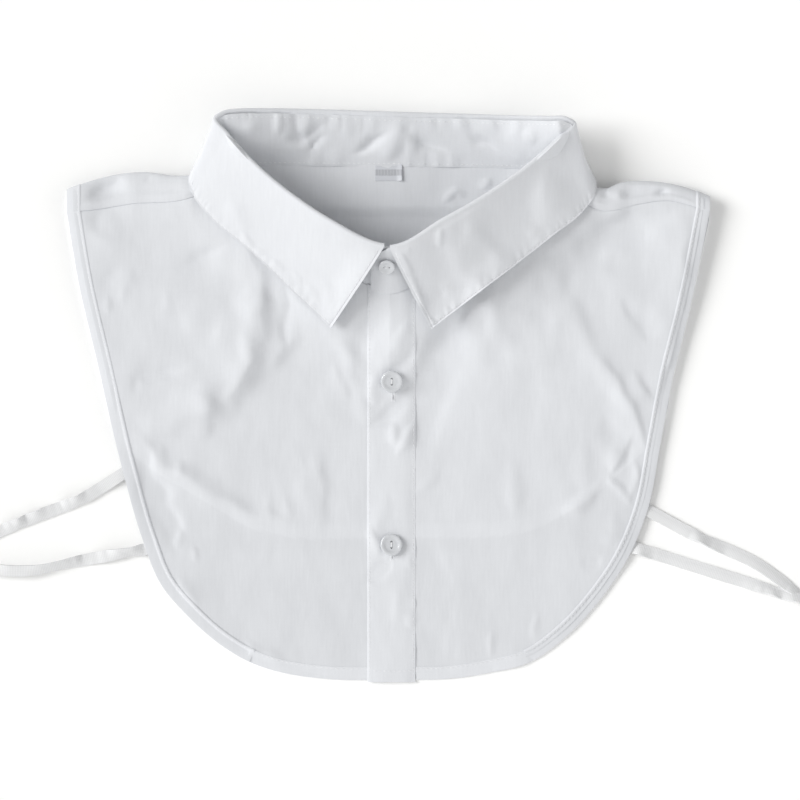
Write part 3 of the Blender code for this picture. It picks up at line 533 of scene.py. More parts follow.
class Half:  # one half of the bib: outlines, shoulder seam and rolled shoulder
    def __init__(self, side, row):
        self.front = Course(side.front)
        self.back = Course(side.back)
        self.crest = Course(side.crest)
        self.row = row
        self.sign = math.copysign(1.0, side.front[0][0])
        outer = self.edge(self.front, np.array([seams["seamStart"]]))[0]
        inner = self.neckEdge(np.array([row]))[0]
        self.seam = Course([outer, *side.seam, inner])

    def edge(self, outline, place):  # edge of a panel, run into its binding or hem
        return outline.at(place) + inwards(outline, place) * (seams["bindingWidth"] - cloth["tuck"])

    def neckEdge(self, row, off=1.0):  # just outside the collar's seam
        row = row % rounds
        neck = neckLine.at(row)
        way = neckLine.along(np.where((row > 0.1) & (row < rounds - 0.1), row, 0.1))
        out = unit(stack(way[..., 1], -way[..., 0]))
        turn = np.sign(out[..., 0] * neck[..., 0] + out[..., 1] * (neck[..., 1] - neckline["back"]))
        return neck[..., :2] + out * col(turn) * off

    def crestY(self, x):  # how far up the rolled shoulder reaches above a point
        low, high = np.zeros_like(x), np.ones_like(x)
        for _ in range(24):
            half = (low + high) / 2
            beyond = np.abs(self.crest.at(half)[..., 0]) > np.abs(x)
            low = np.where(beyond, half, low)
            high = np.where(beyond, high, half)
        return self.crest.at(low)[..., 1]

    def roll(self, top, foot, t, outwards=0.0):  # over the shoulder, from the seam to the point under it
        crest = self.crestY(top[..., 0]) - 0.5
        pull = np.maximum((crest - 0.125 * (top[..., 1] + foot[..., 1])) / 0.75, top[..., 1] + 1.5)
        first = stack(top[..., 0] + outwards, pull, top[..., 2] + 3.0)
        second = stack(foot[..., 0] + outwards * 0.6, pull, foot[..., 2])
        t = col(t)
        upper = top * (1 - t) ** 3 + first * 3 * t * (1 - t) ** 2
        return upper + second * 3 * t**2 * (1 - t) + foot * t**3


halves = {"left": Half(leftSide, shoulderRow["left"]), "right": Half(rightSide, shoulderRow["right"])}
opening = {"left": -11.0, "right": 13.0, "frontsMeet": 9.5, "foot": -142.5}  # under the placket
panelEdges = {
    "frontCorner": 0.66,  # share of the outline that is a panel's side, and the rest its foot
    "backCorner": 0.55,
    "frontSeam": 6 / 15,  # share of the top edge along a shoulder seam
    "backSeam": 6 / 34,
    "crowding": 1.4,  # rows closer together at the neck
    "roll": 0.45,  # share of the back's rows from its top edge over the rolled shoulders
}


def frontPanel(side):
    half = halves[side]
    centreX = opening["frontsMeet"] + (-0.1 if side == "left" else 0.1)
    seamShare, frontCorner = panelEdges["frontSeam"], panelEdges["frontCorner"]
    centreRow = -0.35 if side == "left" else rounds - 0.35

    def top(u):
        along = np.clip(u / seamShare, 0, 1)
        seam = half.seam.at(along) + stack(0.0, cloth["under"])
        t = np.clip((u - seamShare) / (1 - seamShare), 0, 1)
        neck = half.neckEdge(half.row + (centreRow - half.row) * t, seams["neckSeam"])
        rise = stack(0.0, cloth["under"] * (1 - ease(0.0, 0.1, t)))
        return np.where(col(u < seamShare), seam, neck + rise)

    def sideEdge(v):
        place = seams["seamStart"] + (frontCorner - seams["seamStart"]) * v
        return half.edge(half.front, place) + stack(0.0, cloth["under"] * (1 - ease(0.0, 0.08, v)))

    def foot(u):
        return half.edge(half.front, frontCorner + (1 - frontCorner) * u)

    def centre(v):
        upper, lower = top(np.array([1.0]))[0], foot(np.array([1.0]))[0]
        return np.array((centreX, upper[1])) * (1 - col(v)) + lower * col(v)

    def surface(u, v):
        points = onFront(patch(top, foot, sideEdge, centre, u, v ** panelEdges["crowding"]))
        seamLine = half.seam.at(np.linspace(0, 1, 80))
        order = np.argsort(seamLine[:, 0])
        past = points[:, 1] - np.interp(points[:, 0], seamLine[order, 0], seamLine[order, 1])
        onSeam = np.abs(points[:, 0]) > abs(half.seam.points[-1][0])
        groove = ease(-1.2, 0.4, past)
        points[:, 2] -= 0.5 * groove * onSeam  # tucked under the back's edge
        return points

    return surface


def backPanel():
    left, right = halves["left"], halves["right"]
    seamShare, backCorner, rollShare = panelEdges["backSeam"], panelEdges["backCorner"], panelEdges["roll"]
    rowSpan = shoulderRow["right"] - shoulderRow["left"]

    def neckRow(u):
        return shoulderRow["left"] + rowSpan * (u - seamShare) / (1 - 2 * seamShare)

    def rowsIn(u):
        return np.minimum(neckRow(u) - shoulderRow["left"], shoulderRow["right"] - neckRow(u))

    def bySide(u, ofLeft, ofRight):
        return np.where(col(u < 0.5), ofLeft, ofRight)

    def top(u):
        along = np.clip(np.minimum(u, 1 - u) / seamShare, 0, 1)
        seam = bySide(u, onFront(left.seam.at(along), 0.1), onFront(right.seam.at(along), 0.1))
        row = np.clip(neckRow(u), shoulderRow["left"], shoulderRow["right"])
        neck = neckLine.at(row) + offTheNeck(u)
        return np.where(col(along < 1 - 1e-6), seam, neck)

    def offTheNeck(u):  # outwards at a shoulder, down the back elsewhere
        inside = np.maximum(0.0, rowsIn(u))
        back = col(ease(1.2, 3.2, inside))
        room = 1.0 + 0.9 * ease(0.1, 0.9, inside) - 2.3 * ease(2.4, 3.4, inside)
        outwards = unit(stack(np.where(u < 0.5, -1.0, 1.0), -0.75 + 0.5 * np.minimum(1.0, inside), 0.0))
        return unit(outwards * (1 - back) + np.array((0.0, -1.0, 0.0)) * back) * col(room)

    def landing(u):
        leftEnd = left.edge(left.back, np.array([0.0]))[0]
        rightEnd = right.edge(right.back, np.array([0.0]))[0]
        x = np.interp(u, [0, seamShare, 1 - seamShare, 1], [leftEnd[0], -86.0, 88.0, rightEnd[0]])
        y = leftEnd[1] + (rightEnd[1] - leftEnd[1]) * u
        return onBack(stack(x, y))

    def rolled(u):
        return col(np.where(rowsIn(u) < 0, 1.0, 1 - ease(0.4, rollRows, rowsIn(u))))

    def corner(u):  # how far the roll swings outwards to clear the collar
        return 9.0 * ease(-2.6, 0.0, rowsIn(u)) - 7.0 * ease(0.0, 2.4, rowsIn(u))

    def upper(u, t):
        start, end = top(u), landing(u)
        flat = start * (1 - col(t)) + end * col(t)
        rise = start[..., 2] - backHeight(start[..., 0], start[..., 1])
        flat[..., 2] = backHeight(flat[..., 0], flat[..., 1]) + rise * (1 - t) ** 2
        swing = corner(u)
        over = bySide(u, left.roll(start, end, t, -swing), right.roll(start, end, t, swing))
        points = flat * (1 - rolled(u)) + over * rolled(u)
        onSeam = (1 - ease(-0.2, 0.0, rowsIn(u))) * ease(0.01, 0.02, np.minimum(u, 1 - u))
        points[..., 2] += 0.6 * onSeam * np.exp(-(((t - 0.06) / 0.032) ** 2))  # turned edge of the seam
        return points

    def flatTop(u):
        return landing(u)[..., :2]

    def sideLeft(v):
        return left.edge(left.back, backCorner * v)

    def sideRight(v):
        return right.edge(right.back, backCorner * v)

    def foot(u):
        ofLeft = left.edge(left.back, backCorner + (1 - backCorner) * np.clip(2 * u, 0, 1))
        ofRight = right.edge(right.back, backCorner + (1 - backCorner) * np.clip(2 - 2 * u, 0, 1))
        return bySide(u, ofLeft, ofRight)

    def surface(u, v):
        rolledPart = upper(u, np.clip(v / rollShare, 0, 1))
        t = np.clip((v - rollShare) / (1 - rollShare), 0, 1)
        flatPart = onBack(patch(flatTop, foot, sideLeft, sideRight, u, t))
        points = np.where(col(v < rollShare), rolledPart, flatPart)
        faceUp = 1 - ease(0.42, 0.62, v / rollShare) * rolled(u)[..., 0]
        faceUp = faceUp * ease(0.008, 0.03, np.minimum(u, 1 - u))
        folds = creased["back"] * relief(backCreases, points[:, 0], points[:, 1])
        offSeam = np.where(rowsIn(u) < 0, ease(0.02, 0.16, v / rollShare), 1.0)
        points[:, 2] += (folds + crumple(points[:, 0], points[:, 1])) * faceUp * offSeam * (v < 0.8)
        return points

    return surface


def bindingStrip(side):
    # u from the front's hem over the shoulder to the back's hem, v from the outer edge
    half = halves[side]
    frontEnd = placeOfX(half.front, seams["bindingEnd"])
    backEnd = placeOfX(half.back, seams["bindingEnd"])
    frontShare, rollShare = 0.5, 0.14
    backShare = 1 - frontShare - rollShare
    width = seams["bindingWidth"]

    def frontPoint(place, v):
        plan = half.front.at(place) + inwards(half.front, place) * col(width * v)
        upper = ease(-30.0, 15.0, plan[..., 1])
        # how far the outer edge falls below the sewn one: on the left it lifts towards the hem
        fall = 0.4 + 0.1 * upper if half.sign > 0 else 0.7 * upper - 0.9 * (1 - upper)
        crest = 0.35 * (1 - upper * (half.sign < 0)) * np.exp(-(((v - 0.9) / 0.1) ** 2))
        return onFront(plan, turnedEdge(v) + crest - fall * (1 - v) ** 1.3, 0.4 + 0.6 * v)

    def backPoint(place, v):
        return onBack(half.back.at(place) + inwards(half.back, place) * col(width * v), 0.1)

    def surface(u, v):
        start = np.full_like(u, seams["seamStart"])
        frontPlace = start + (frontEnd - start) * np.clip(1 - u / frontShare, 0, 1)
        backPlace = backEnd * np.clip((u - frontShare - rollShare) / backShare, 0, 1)
        t = np.clip((u - frontShare) / rollShare, 0, 1)
        over = half.roll(frontPoint(start, v), backPoint(start * 0, v), t)
        behind = np.where(col(u > frontShare + rollShare), backPoint(backPlace, v), over)
        return np.where(col(u < frontShare), frontPoint(frontPlace, v), behind)

    return surface


def sewnRidge(v):
    return seams["ridge"] * np.exp(-(((v - 0.93) / 0.07) ** 2))


def turnedEdge(v):  # a binding rises from its outer edge to the ridge of its sewn one
    return 0.45 * (1 - (1 - v) ** 3) - 0.66 + sewnRidge(v)


def hemStrip(outline, start, end):  # u from the side binding to the middle, v from the outer edge
    def surface(u, v):
        place = start + (end - start) * u
        plan = outline.at(place) + inwards(outline, place) * col(seams["bindingWidth"] * v)
        under = 0.4 * np.exp(-((u / 0.03) ** 2)) * np.sign(plan[..., 0])  # over the binding on the left
        return onFront(plan, turnedEdge(v) - under - 0.6 * sewnRidge(v))

    return surface


def backHem(u, v):
    left, right = halves["left"].back, halves["right"].back
    ofLeft = placeOfX(left, seams["bindingEnd"])
    ofRight = placeOfX(right, seams["bindingEnd"])
    leftPlace = ofLeft + (1 - ofLeft) * np.clip(2 * u, 0, 1)
    rightPlace = ofRight + (1 - ofRight) * np.clip(2 - 2 * u, 0, 1)
    width = col(seams["bindingWidth"] * v)
    leftPlan = left.at(leftPlace) + inwards(left, leftPlace) * width
    rightPlan = right.at(rightPlace) + inwards(right, rightPlace) * width
    return onBack(np.where(col(u < 0.5), leftPlan, rightPlan), 0.1)


placket = {
    "intoSeam": 1.2,
    "over": 0.8,  # height over the middle of the front
    "folded": 0.3,  # how far its folded edge drops
    "sewnDown": 0.68,  # how far its sewn edge drops
    "pucker": 0.06,
    "gapLift": 0.4,
    # where the sewn edge stands off the front: middle and half length
    "gaps": [(25.5, 5.5), (10.5, 4.5), (-13.0, 11.0), (-76.0, 4.5), (-103.0, 2.5), (-128.0, 8.0)],
}


def placketTop(x):
    return halves["left"].neckEdge((x + 0.8) / -28.5).T[1]


def placketStrip(u, v):
    x = opening["left"] + (opening["right"] - opening["left"]) * u
    top = placketTop(x) + placket["intoSeam"]
    y = top + (opening["foot"] - top) * v
    fromLeft, fromRight = x - opening["left"], opening["right"] - x
    over = placket["over"] - placket["folded"] * (np.exp(-fromLeft / 0.5) + np.exp(-fromLeft / 5.0))
    over -= placket["sewnDown"] * np.exp(-((fromRight / 3.5) ** 2))
    alongRight = np.exp(-((fromRight / 3.0) ** 2))
    for centre, reach in placket["gaps"]:
        over += placket["gapLift"] * np.exp(-(((y - centre) / reach) ** 2)) * alongRight
    over += placket["pucker"] * ripple(y, 5.0, 1.0) * alongRight
    return onFront(stack(x, y), over)


collar = {
    "foldRadius": 0.85,
    "foldSeam": 2.0,  # from the fold down to the leaf's seam on the stand
    "lapOffset": 0.7,
    "standLap": 0.29,  # in rows past the front
    "lapEased": 0.85,
}
stand = {
    "intoSeam": 1.7,  # at the front; 1 mm less from "frontFoot" rows on
    "frontFoot": 0.7,
    "topGap": 0.9,
    "seamPucker": 0.12,
    "footPucker": 0.08,
    "crumple": 0.35,
}
leaf = {
    "start": 0.065,  # in rows from the front, set back from the stand's end
    "seamPart": 0.1,  # share of v that is the seam, and then the fold
    "foldPart": 0.3,
    "bulge": 0.18,
    "straight": 1.6,  # rows from the front over which it falls straight
    "frontRow": 28.0,  # mm for each row at the front
    "bow": 4.4,  # the left front edge bows up off the bib
    "bowWidth": 9.0,
    "rim": 0.22,
    "rimGroove": 0.16,
    "pucker": 0.2,
    "crumple": 0.45,
}


def lap(row):  # how far a lapped end is shifted outwards: the left end goes under, the right end over
    under = 1 - ease(collar["standLap"], collar["lapEased"], row)
    over = 1 - ease(collar["standLap"], collar["lapEased"], rounds - row)
    return collar["lapOffset"] * (over - under)


def collarFrame(row):  # neck point, fold point, the way up the stand and the way out
    neck, fold = neckLine.at(row % rounds), foldLine.at(row % rounds)
    near, far = foldLine.at((row - 0.04) % rounds), foldLine.at((row + 0.04) % rounds)
    up = unit(fold - neck)
    out = unit(np.cross(up, unit(far - near)))
    shift = out * col(lap(row))
    return neck + shift, fold + shift, up, out


def standBand(u, v):  # u round the neck with the laps, v up from the neck seam
    row = -collar["standLap"] + (rounds + 2 * collar["standLap"]) * u
    past = np.maximum(0.0, np.maximum(-row, row - rounds)) / collar["standLap"]
    neck, fold, up, out = collarFrame(row)
    less = ease(0.0, stand["frontFoot"], np.minimum(row, rounds - row))
    foot = neck - up * col(stand["intoSeam"] - less)
    below = collar["foldRadius"] + collar["foldSeam"] - stand["topGap"]
    top = fold - up * below - out * collar["foldRadius"]
    lower = col(0.05 * ease(0.0, 0.3, past) + 0.38 * past**3)  # rounded ends
    top = top * (1 - lower) + foot * lower
    points = foot * (1 - col(v)) + top * col(v)
    points[:, 2] += creased["stand"] * relief(standCreases, points[:, 0], points[:, 1])
    points[:, 2] += stand["crumple"] * crumple(points[:, 0] * 1.6, points[:, 1] * 1.6)
    atTop, atFoot = np.exp(-(((1 - v) / 0.12) ** 2)), np.exp(-((v / 0.12) ** 2))
    pucker = stand["seamPucker"] * atTop + stand["footPucker"] * atFoot
    behind = ease(5.0, 7.0, row) * ease(-15, -13, -row)
    points += out * col(pucker * ripple(row * 22, 9.0, 0.7) * behind)
    return points


def leafSheet(u, v):  # u round the neck, v from the stand's seam over the fold to the outer edge
    first, last = leaf["start"], rounds - leaf["start"] / 2
    row = first + (last - first) * u
    fold, up, out = collarFrame(row)[1:]
    radius = collar["foldRadius"]
    foldCentre = fold - up * radius
    seamPart, foldPart = leaf["seamPart"], leaf["foldPart"]
    toSeam = collar["foldSeam"] * (1 - np.clip(v / seamPart, 0, 1))
    seamSide = foldCentre - out * radius - up * col(toSeam)
    turn = math.pi * np.clip((v - seamPart) / (foldPart - seamPart), 0, 1)
    crest = foldCentre + (up * col(np.sin(turn)) - out * col(np.cos(turn))) * radius
    fallSide = foldCentre + out * radius
    t = np.clip((v - foldPart) / (1 - foldPart), 0, 1)
    edge = edgeLine.at(row)
    span = np.linalg.norm(edge - fallSide, axis=-1)
    leave = (out * leaf["bulge"] * 0.5 - up * 0.62) * col(span)
    under = ease(0.3, 0.9, -out[..., 2])  # 1 where the stand lies back flat and the leaf is under it
    leave[..., 2] -= 7.0 * under
    arrive = (edge - fallSide) * 0.9
    fromFront = np.minimum(row, rounds - row)
    straight = col(0.85 * (1 - ease(0.3, leaf["straight"], fromFront)))
    leave[..., :2] += (arrive - leave)[..., :2] * straight
    arrive[..., 2] *= (1 - under) * (0.5 + 0.5 * ease(2.0, 4.0, fromFront))
    fall = bend(fallSide, leave, edge, arrive, col(t))
    points = np.where(col(v < seamPart), seamSide, np.where(col(v < foldPart), crest, fall))
    falls = (v >= foldPart) * ease(0.0, 0.12, t)
    toEdge = (1 - t) * span
    toFront = np.minimum(row - first, last - row) * leaf["frontRow"]
    points[:, 2] += falls * creased["leaf"] * relief(leafCreases, points[:, 0], points[:, 1])
    points[:, 2] += falls * leaf["crumple"] * crumple(points[:, 0], points[:, 1])
    for distance, place in ((toEdge, row * 27), (toFront, t * span)):
        rim = leaf["rim"] * np.exp(-((distance / 0.5) ** 2))
        groove = leaf["rimGroove"] * np.exp(-(((distance - 1.3) / 0.4) ** 2))
        pucker = leaf["pucker"] * ripple(place, 6.5, 0.3) * np.exp(-(((distance - 3.0) / 2.4) ** 2))
        points[:, 2] += falls * (rim - groove + pucker)
    nearLeft = np.exp(-(((row - first) * leaf["frontRow"] / leaf["bowWidth"]) ** 2))
    points[:, 2] += leaf["bow"] * 4 * t * (1 - t) * nearLeft * (v > foldPart)
    return points


def leafCloth(u, v):  # the leaf with more rows at its edges and more columns at both fronts
    fallPart = 1 - leaf["foldPart"]
    place = np.interp(v, [0, 0.08, 0.28, 1], [0, leaf["seamPart"], leaf["foldPart"], 1])
    t = np.clip((place - leaf["foldPart"]) / fallPart, 0, 1)
    crowded = leaf["foldPart"] + fallPart * (1 - (1 - t) ** 1.35)
    columns = u - 0.88 * np.sin(math.tau * u) / math.tau
    return leafSheet(columns, np.where(place > leaf["foldPart"], crowded, place))


# Finishes.
class Wire:  # one output of a node, to reckon with
    def __init__(self, finish, socket):
        self.finish = finish
        self.socket = socket

    def sum(self, operation, first, second):
        return self.finish.node("Math", {"operation": operation}, [first, second])

    def __add__(self, other):
        return self.sum("ADD", self, other)

    __radd__ = __add__

    def __sub__(self, other):
        return self.sum("SUBTRACT", self, other)

    def __rsub__(self, other):
        return self.sum("SUBTRACT", other, self)

    def __mul__(self, other):
        return self.sum("MULTIPLY", self, other)

    __rmul__ = __mul__


class Finish:  # a material and its nodes
    def __init__(self, name, **constants):
        self.material = bpy.data.materials.new(name)
        self.material.use_nodes = True
        self.tree = self.material.node_tree
        self.shader = self.tree.nodes["Principled BSDF"]
        for socket, value in constants.items():
            self.shader.inputs[socket.replace("_", " ")].default_value = value

    def feed(self, socket, value):
        if isinstance(value, Wire):
            self.tree.links.new(value.socket, socket)
        else:
            socket.default_value = value

    def node(self, kind, settings=(), values=(), output=0):
        made = self.tree.nodes.new("ShaderNode" + kind)
        for name, value in dict(settings).items():
            setattr(made, name, value)
        pairs = values.items() if isinstance(values, dict) else enumerate(values)
        for socket, value in pairs:
            self.feed(made.inputs[socket], value)
        return Wire(self, made.outputs[output])

    def place(self, scale):  # object coordinates, stretched
        here = self.node("TexCoord", output="Object")
        return self.node("Mapping", {"vector_type": "POINT"}, {"Vector": here, "Scale": scale})

    def track(self, scale):  # the piece's own UV, in metres along and across
        here = self.node("UVMap", {"uv_map": "UVMap"}, output="UV")
        return self.node("Mapping", {"vector_type": "POINT"}, {"Vector": here, "Scale": scale})

    def noise(self, scale, detail=2.0):
        vector = self.place(scale)
        return self.node("TexNoise", {}, {"Vector": vector, "Scale": 1.0, "Detail": detail}, "Fac")

    def bands(self, direction, count, scale):  # even bands, close together along X or Y of the UV
        vector = self.track((count, 0, 0) if direction == "X" else (0, count, 0))
        return self.node("TexWave", {"bands_direction": direction}, {"Vector": vector, "Scale": scale})

    def tint(self, colour, strength):  # a colour made lighter or darker by a number
        return self.node("VectorMath", {"operation": "SCALE"}, {0: colour, "Scale": strength})

    def bump(self, height, distance):
        return self.node("Bump", {}, {"Height": height, "Distance": distance, "Strength": 1.0}, "Normal")

    def paint(self, **sockets):
        for socket, value in sockets.items():
            self.feed(self.shader.inputs[socket.replace("_", " ")], value)
        return self.material


poplinLook = {"colour": (0.718, 0.731, 0.755), "slub": 0.085, "cloud": 0.05, "rough": 0.82}
elasticLook = {"colour": (0.83, 0.835, 0.84), "cords": 0.02, "picks": 0.09, "fuzz": 0.05, "rough": 0.7}
satinLook = {"colour": (0.63, 0.645, 0.68), "band": 0.36, "ribs": 0.26, "rough": 0.42}
threadLook = {"colour": (0.84, 0.845, 0.86), "twist": 0.14, "rough": 0.6}
plasticLook = {"colour": (0.61, 0.625, 0.645), "swirl": 0.12, "rough": 0.16}


def poplin(name, lit=1.0):
    finish = Finish(name, Roughness=poplinLook["rough"], Specular_IOR_Level=0.25)
    warp = finish.noise((800, 105, 105), 3.0)  # threads that run down the cloth
    weft = finish.noise((70, 800, 800))
    cloud = finish.noise((38, 38, 38), 3.0)
    layers = finish.node("Attribute", {"attribute_name": "layers"}, output="Fac")
    tone = (warp - 0.5) * poplinLook["slub"] + (weft - 0.5) * (poplinLook["slub"] * 0.2)
    tone = tone + (cloud - 0.5) * poplinLook["cloud"] + layers + lit
    weave = finish.bands("X", 2600, 0.3) * finish.bands("Y", 2600, 0.3)
    threads = finish.bump(warp * 0.7 + weft * 0.3 + weave * 0.08, 0.00006)
    return finish.paint(Base_Color=finish.tint(poplinLook["colour"], tone), Normal=threads)


def elasticTape(name):
    finish = Finish(name, Roughness=elasticLook["rough"], Specular_IOR_Level=0.3)
    cords = finish.bands("Y", 1000, 0.30)
    picks = finish.bands("X", 1000, 0.38)
    fuzz = finish.noise((900, 900, 900), 3.0)
    tone = 0.96 + (cords - 0.5) * elasticLook["cords"]
    tone = tone + (picks - 0.5) * elasticLook["picks"] + (fuzz - 0.5) * elasticLook["fuzz"]
    normal = finish.bump(cords * 0.3 + picks * 0.5 + fuzz * 0.3, 0.0001)
    return finish.paint(Base_Color=finish.tint(elasticLook["colour"], tone), Normal=normal)


def satinTape(name, ribsFrom, ribsTo):  # woven with a band of ribs across it
    finish = Finish(name, Roughness=satinLook["rough"], Specular_IOR_Level=0.5)
    ribs = finish.bands("X", 1000, 0.42)
    height = finish.node("SeparateXYZ", {}, [finish.track((1, 1, 1))], "Y")
    above = finish.node("Math", {"operation": "GREATER_THAN"}, [height, ribsFrom])
    below = finish.node("Math", {"operation": "LESS_THAN"}, [height, ribsTo])
    band = above * below
    tone = 1.0 - band * (satinLook["band"] - ribs * satinLook["ribs"])
    normal = finish.bump(ribs * band, 0.0001)
    return finish.paint(Base_Color=finish.tint(satinLook["colour"], tone), Normal=normal)


def sewingThread(name):
    finish = Finish(name, Roughness=threadLook["rough"])
    twist = finish.noise((2400, 2400, 2400))
    tone = 0.93 + twist * threadLook["twist"]
    normal = finish.bump(twist, 0.00004)
    return finish.paint(Base_Color=finish.tint(threadLook["colour"], tone), Normal=normal)


def buttonPlastic(name):
    shine = {"Specular_IOR_Level": 0.6, "Coat_Weight": 0.5, "Coat_Roughness": 0.05}
    finish = Finish(name, Roughness=plasticLook["rough"], **shine)
    tone = 0.95 + finish.noise((420, 260, 420), 3.0) * plasticLook["swirl"]
    normal = finish.bump(finish.noise((500, 500, 500)), 0.00003)
    return finish.paint(Base_Color=finish.tint(plasticLook["colour"], tone), Normal=normal)


# How a piece is made, and how it is sewn.
def gridMesh(name, across, along):
    shape = bmesh.new()
    shape.loops.layers.uv.new("UVMap")
    bmesh.ops.create_grid(shape, x_segments=across, y_segments=along, size=0.5, calc_uvs=True)
    mesh = bpy.data.meshes.new(name)
    shape.to_mesh(mesh)
    shape.free()
    return mesh


def added(name, mesh, finish):
    mesh.materials.append(finish)
    mesh.shade_smooth()
    piece = bpy.data.objects.new(name, mesh)
    bpy.context.scene.collection.objects.link(piece)
    return piece


def standsFor(piece, node):
    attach(piece, "root")
    if node:
        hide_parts(node)


def clothPiece(name, surface, cells, wall, finish, rounded=cloth["edgeRound"], layers=None):
    across, along = cells
    mesh = gridMesh(name, across, along)
    flat = np.empty(len(mesh.vertices) * 3)
    mesh.vertices.foreach_get("co", flat)
    u, v = flat[0::3] + 0.5, flat[1::3] + 0.5
    points = surface(u, v)
    points[:, 2] = np.maximum(points[:, 2], wall / 2 + 0.02)  # nothing sinks into the table
    mesh.vertices.foreach_set("co", ((points - middle) * mm).ravel())
    rows = points.reshape(along + 1, across + 1, 3)
    size = (
        np.linalg.norm(np.diff(rows[along // 2], axis=0), axis=1).sum() * mm,
        np.linalg.norm(np.diff(rows[:, across // 2], axis=0), axis=1).sum() * mm,
    )
    corners = np.empty(len(mesh.loops) * 2)
    mesh.uv_layers["UVMap"].data.foreach_get("uv", corners)
    mesh.uv_layers["UVMap"].data.foreach_set("uv", (corners.reshape(-1, 2) * size).ravel())
    shade = np.zeros(len(points)) if layers is None else layers(points[:, 0], points[:, 1])
    mesh.attributes.new("layers", "FLOAT", "POINT").data.foreach_set("value", shade.astype(np.float32))
    piece = added(name, mesh, finish)
    solid = piece.modifiers.new("wall", "SOLIDIFY")
    solid.thickness = wall * mm
    solid.offset = 0.0
    edge = piece.modifiers.new("edge", "BEVEL")
    edge.width = rounded * mm
    edge.segments = 3
    edge.limit_method = "ANGLE"
    edge.angle_limit = math.radians(50)
    print("cut", name, "%.0f x %.0f mm" % (size[0] / mm, size[1] / mm))
    return piece


stitch = {"length": 1.75, "pitch": 2.5, "thick": 0.17, "sunk": 0.02}


def seamTrack(surface, u, v, wall):
    # stitches along a line on a surface: their middles, ways and the way off the cloth
    pitch = stitch["pitch"]
    u, v = np.broadcast_arrays(np.asarray(u, float), np.asarray(v, float))
    line = surface(u, v)
    marks = np.concatenate([[0.0], np.cumsum(np.linalg.norm(np.diff(line, axis=0), axis=1))])
    places = np.arange(pitch, marks[-1] - pitch / 2, pitch)
    su, sv = np.interp(places, marks, u), np.interp(places, marks, v)
    middles = surface(su, sv)
    reach, step = 0.6, 0.002  # mm along the line, and a share of the surface
    before = stack(*(np.interp(places - reach, marks, line[:, i]) for i in range(3)))
    after = stack(*(np.interp(places + reach, marks, line[:, i]) for i in range(3)))
    acrossU = surface(np.clip(su + step, 0, 1), sv) - surface(np.clip(su - step, 0, 1), sv)
    acrossV = surface(su, np.clip(sv + step, 0, 1)) - surface(su, np.clip(sv - step, 0, 1))
    off = unit(np.cross(acrossU, acrossV))
    off = off * col(np.sign(off[..., 2]))
    return middles + off * (wall / 2 + stitch["sunk"]), unit(after - before), off


def sewn(name, tracks, finish, length=stitch["length"], thick=stitch["thick"]):
    # one small rounded stitch at each place
    shape = bmesh.new()
    for middles, ways, offs in tracks:
        for centre, way, off in zip(middles, ways, offs):
            side = unit(np.cross(way, off))
            up = np.cross(side, way)
            turn = Matrix([list(side), list(way), list(up)]).transposed().to_4x4()
            size = Matrix.Diagonal((thick * mm, length / 2 * mm, thick * 0.8 * mm, 1))
            put = Matrix.Translation(Vector((centre - middle) * mm)) @ turn @ size
            bmesh.ops.create_uvsphere(shape, u_segments=5, v_segments=4, radius=1.0, matrix=put)
    mesh = bpy.data.meshes.new(name)
    shape.to_mesh(mesh)
    shape.free()
    standsFor(added(name, mesh, finish), None)


# Camera, light and table.
view = {"x": 5.75, "y": -2.34, "away": 8.0, "width": 0.4, "sensor": 36.0}
camera = bpy.data.objects.new("camera", bpy.data.cameras.new("camera"))
camera.data.sensor_width = view["sensor"]
camera.data.lens = view["sensor"] * view["away"] / view["width"]
camera.data.clip_end = 30.0
camera.location = (view["x"] * mm, view["y"] * mm, view["away"])
bpy.context.scene.collection.objects.link(camera)
bpy.context.scene.camera = camera
bpy.context.scene.view_settings.view_transform = "Standard"

light = {"azimuth": 164.0, "height": 34.0, "spread": 34.0, "sun": 2.42, "sky": 0.52, "fromHem": 0.85}
bounce = {"azimuth": -15.0, "height": 18.0, "spread": 70.0, "sun": 0.46}


def lamp(name, values):
    sun = bpy.data.lights.new(name, "SUN")
    sun.energy = values["sun"]
    sun.angle = math.radians(values["spread"])
    azimuth, height = math.radians(values["azimuth"]), math.radians(values["height"])
    out = math.cos(height)
    way = Vector((math.cos(azimuth) * out, math.sin(azimuth) * out, math.sin(height)))
    held = bpy.data.objects.new(name, sun)
    held.location = way * 2.0
    held.rotation_euler = way.to_track_quat("Z", "Y").to_euler()
    bpy.context.scene.collection.objects.link(held)


def sky():  # soft light from all round, more of it from the hem's side
    world = bpy.data.worlds.new("studio")
    world.use_nodes = True
    nodes, links = world.node_tree.nodes, world.node_tree.links
    back = nodes["Background"]
    back.inputs["Color"].default_value = (1.0, 1.0, 1.0, 1.0)
    way = nodes.new("ShaderNodeTexCoord")
    facing = nodes.new("ShaderNodeVectorMath")
    facing.operation = "DOT_PRODUCT"
    facing.inputs[1].default_value = (0.15, -0.98, 0.0)  # the hem's side
    strength = nodes.new("ShaderNodeMath")
    strength.operation = "MULTIPLY_ADD"
    strength.inputs[1].default_value = light["sky"] * light["fromHem"]
    strength.inputs[2].default_value = light["sky"]
    links.new(way.outputs["Generated"], facing.inputs[0])
    links.new(facing.outputs["Value"], strength.inputs[0])
    links.new(strength.outputs[0], back.inputs["Strength"])
    bpy.context.scene.world = world


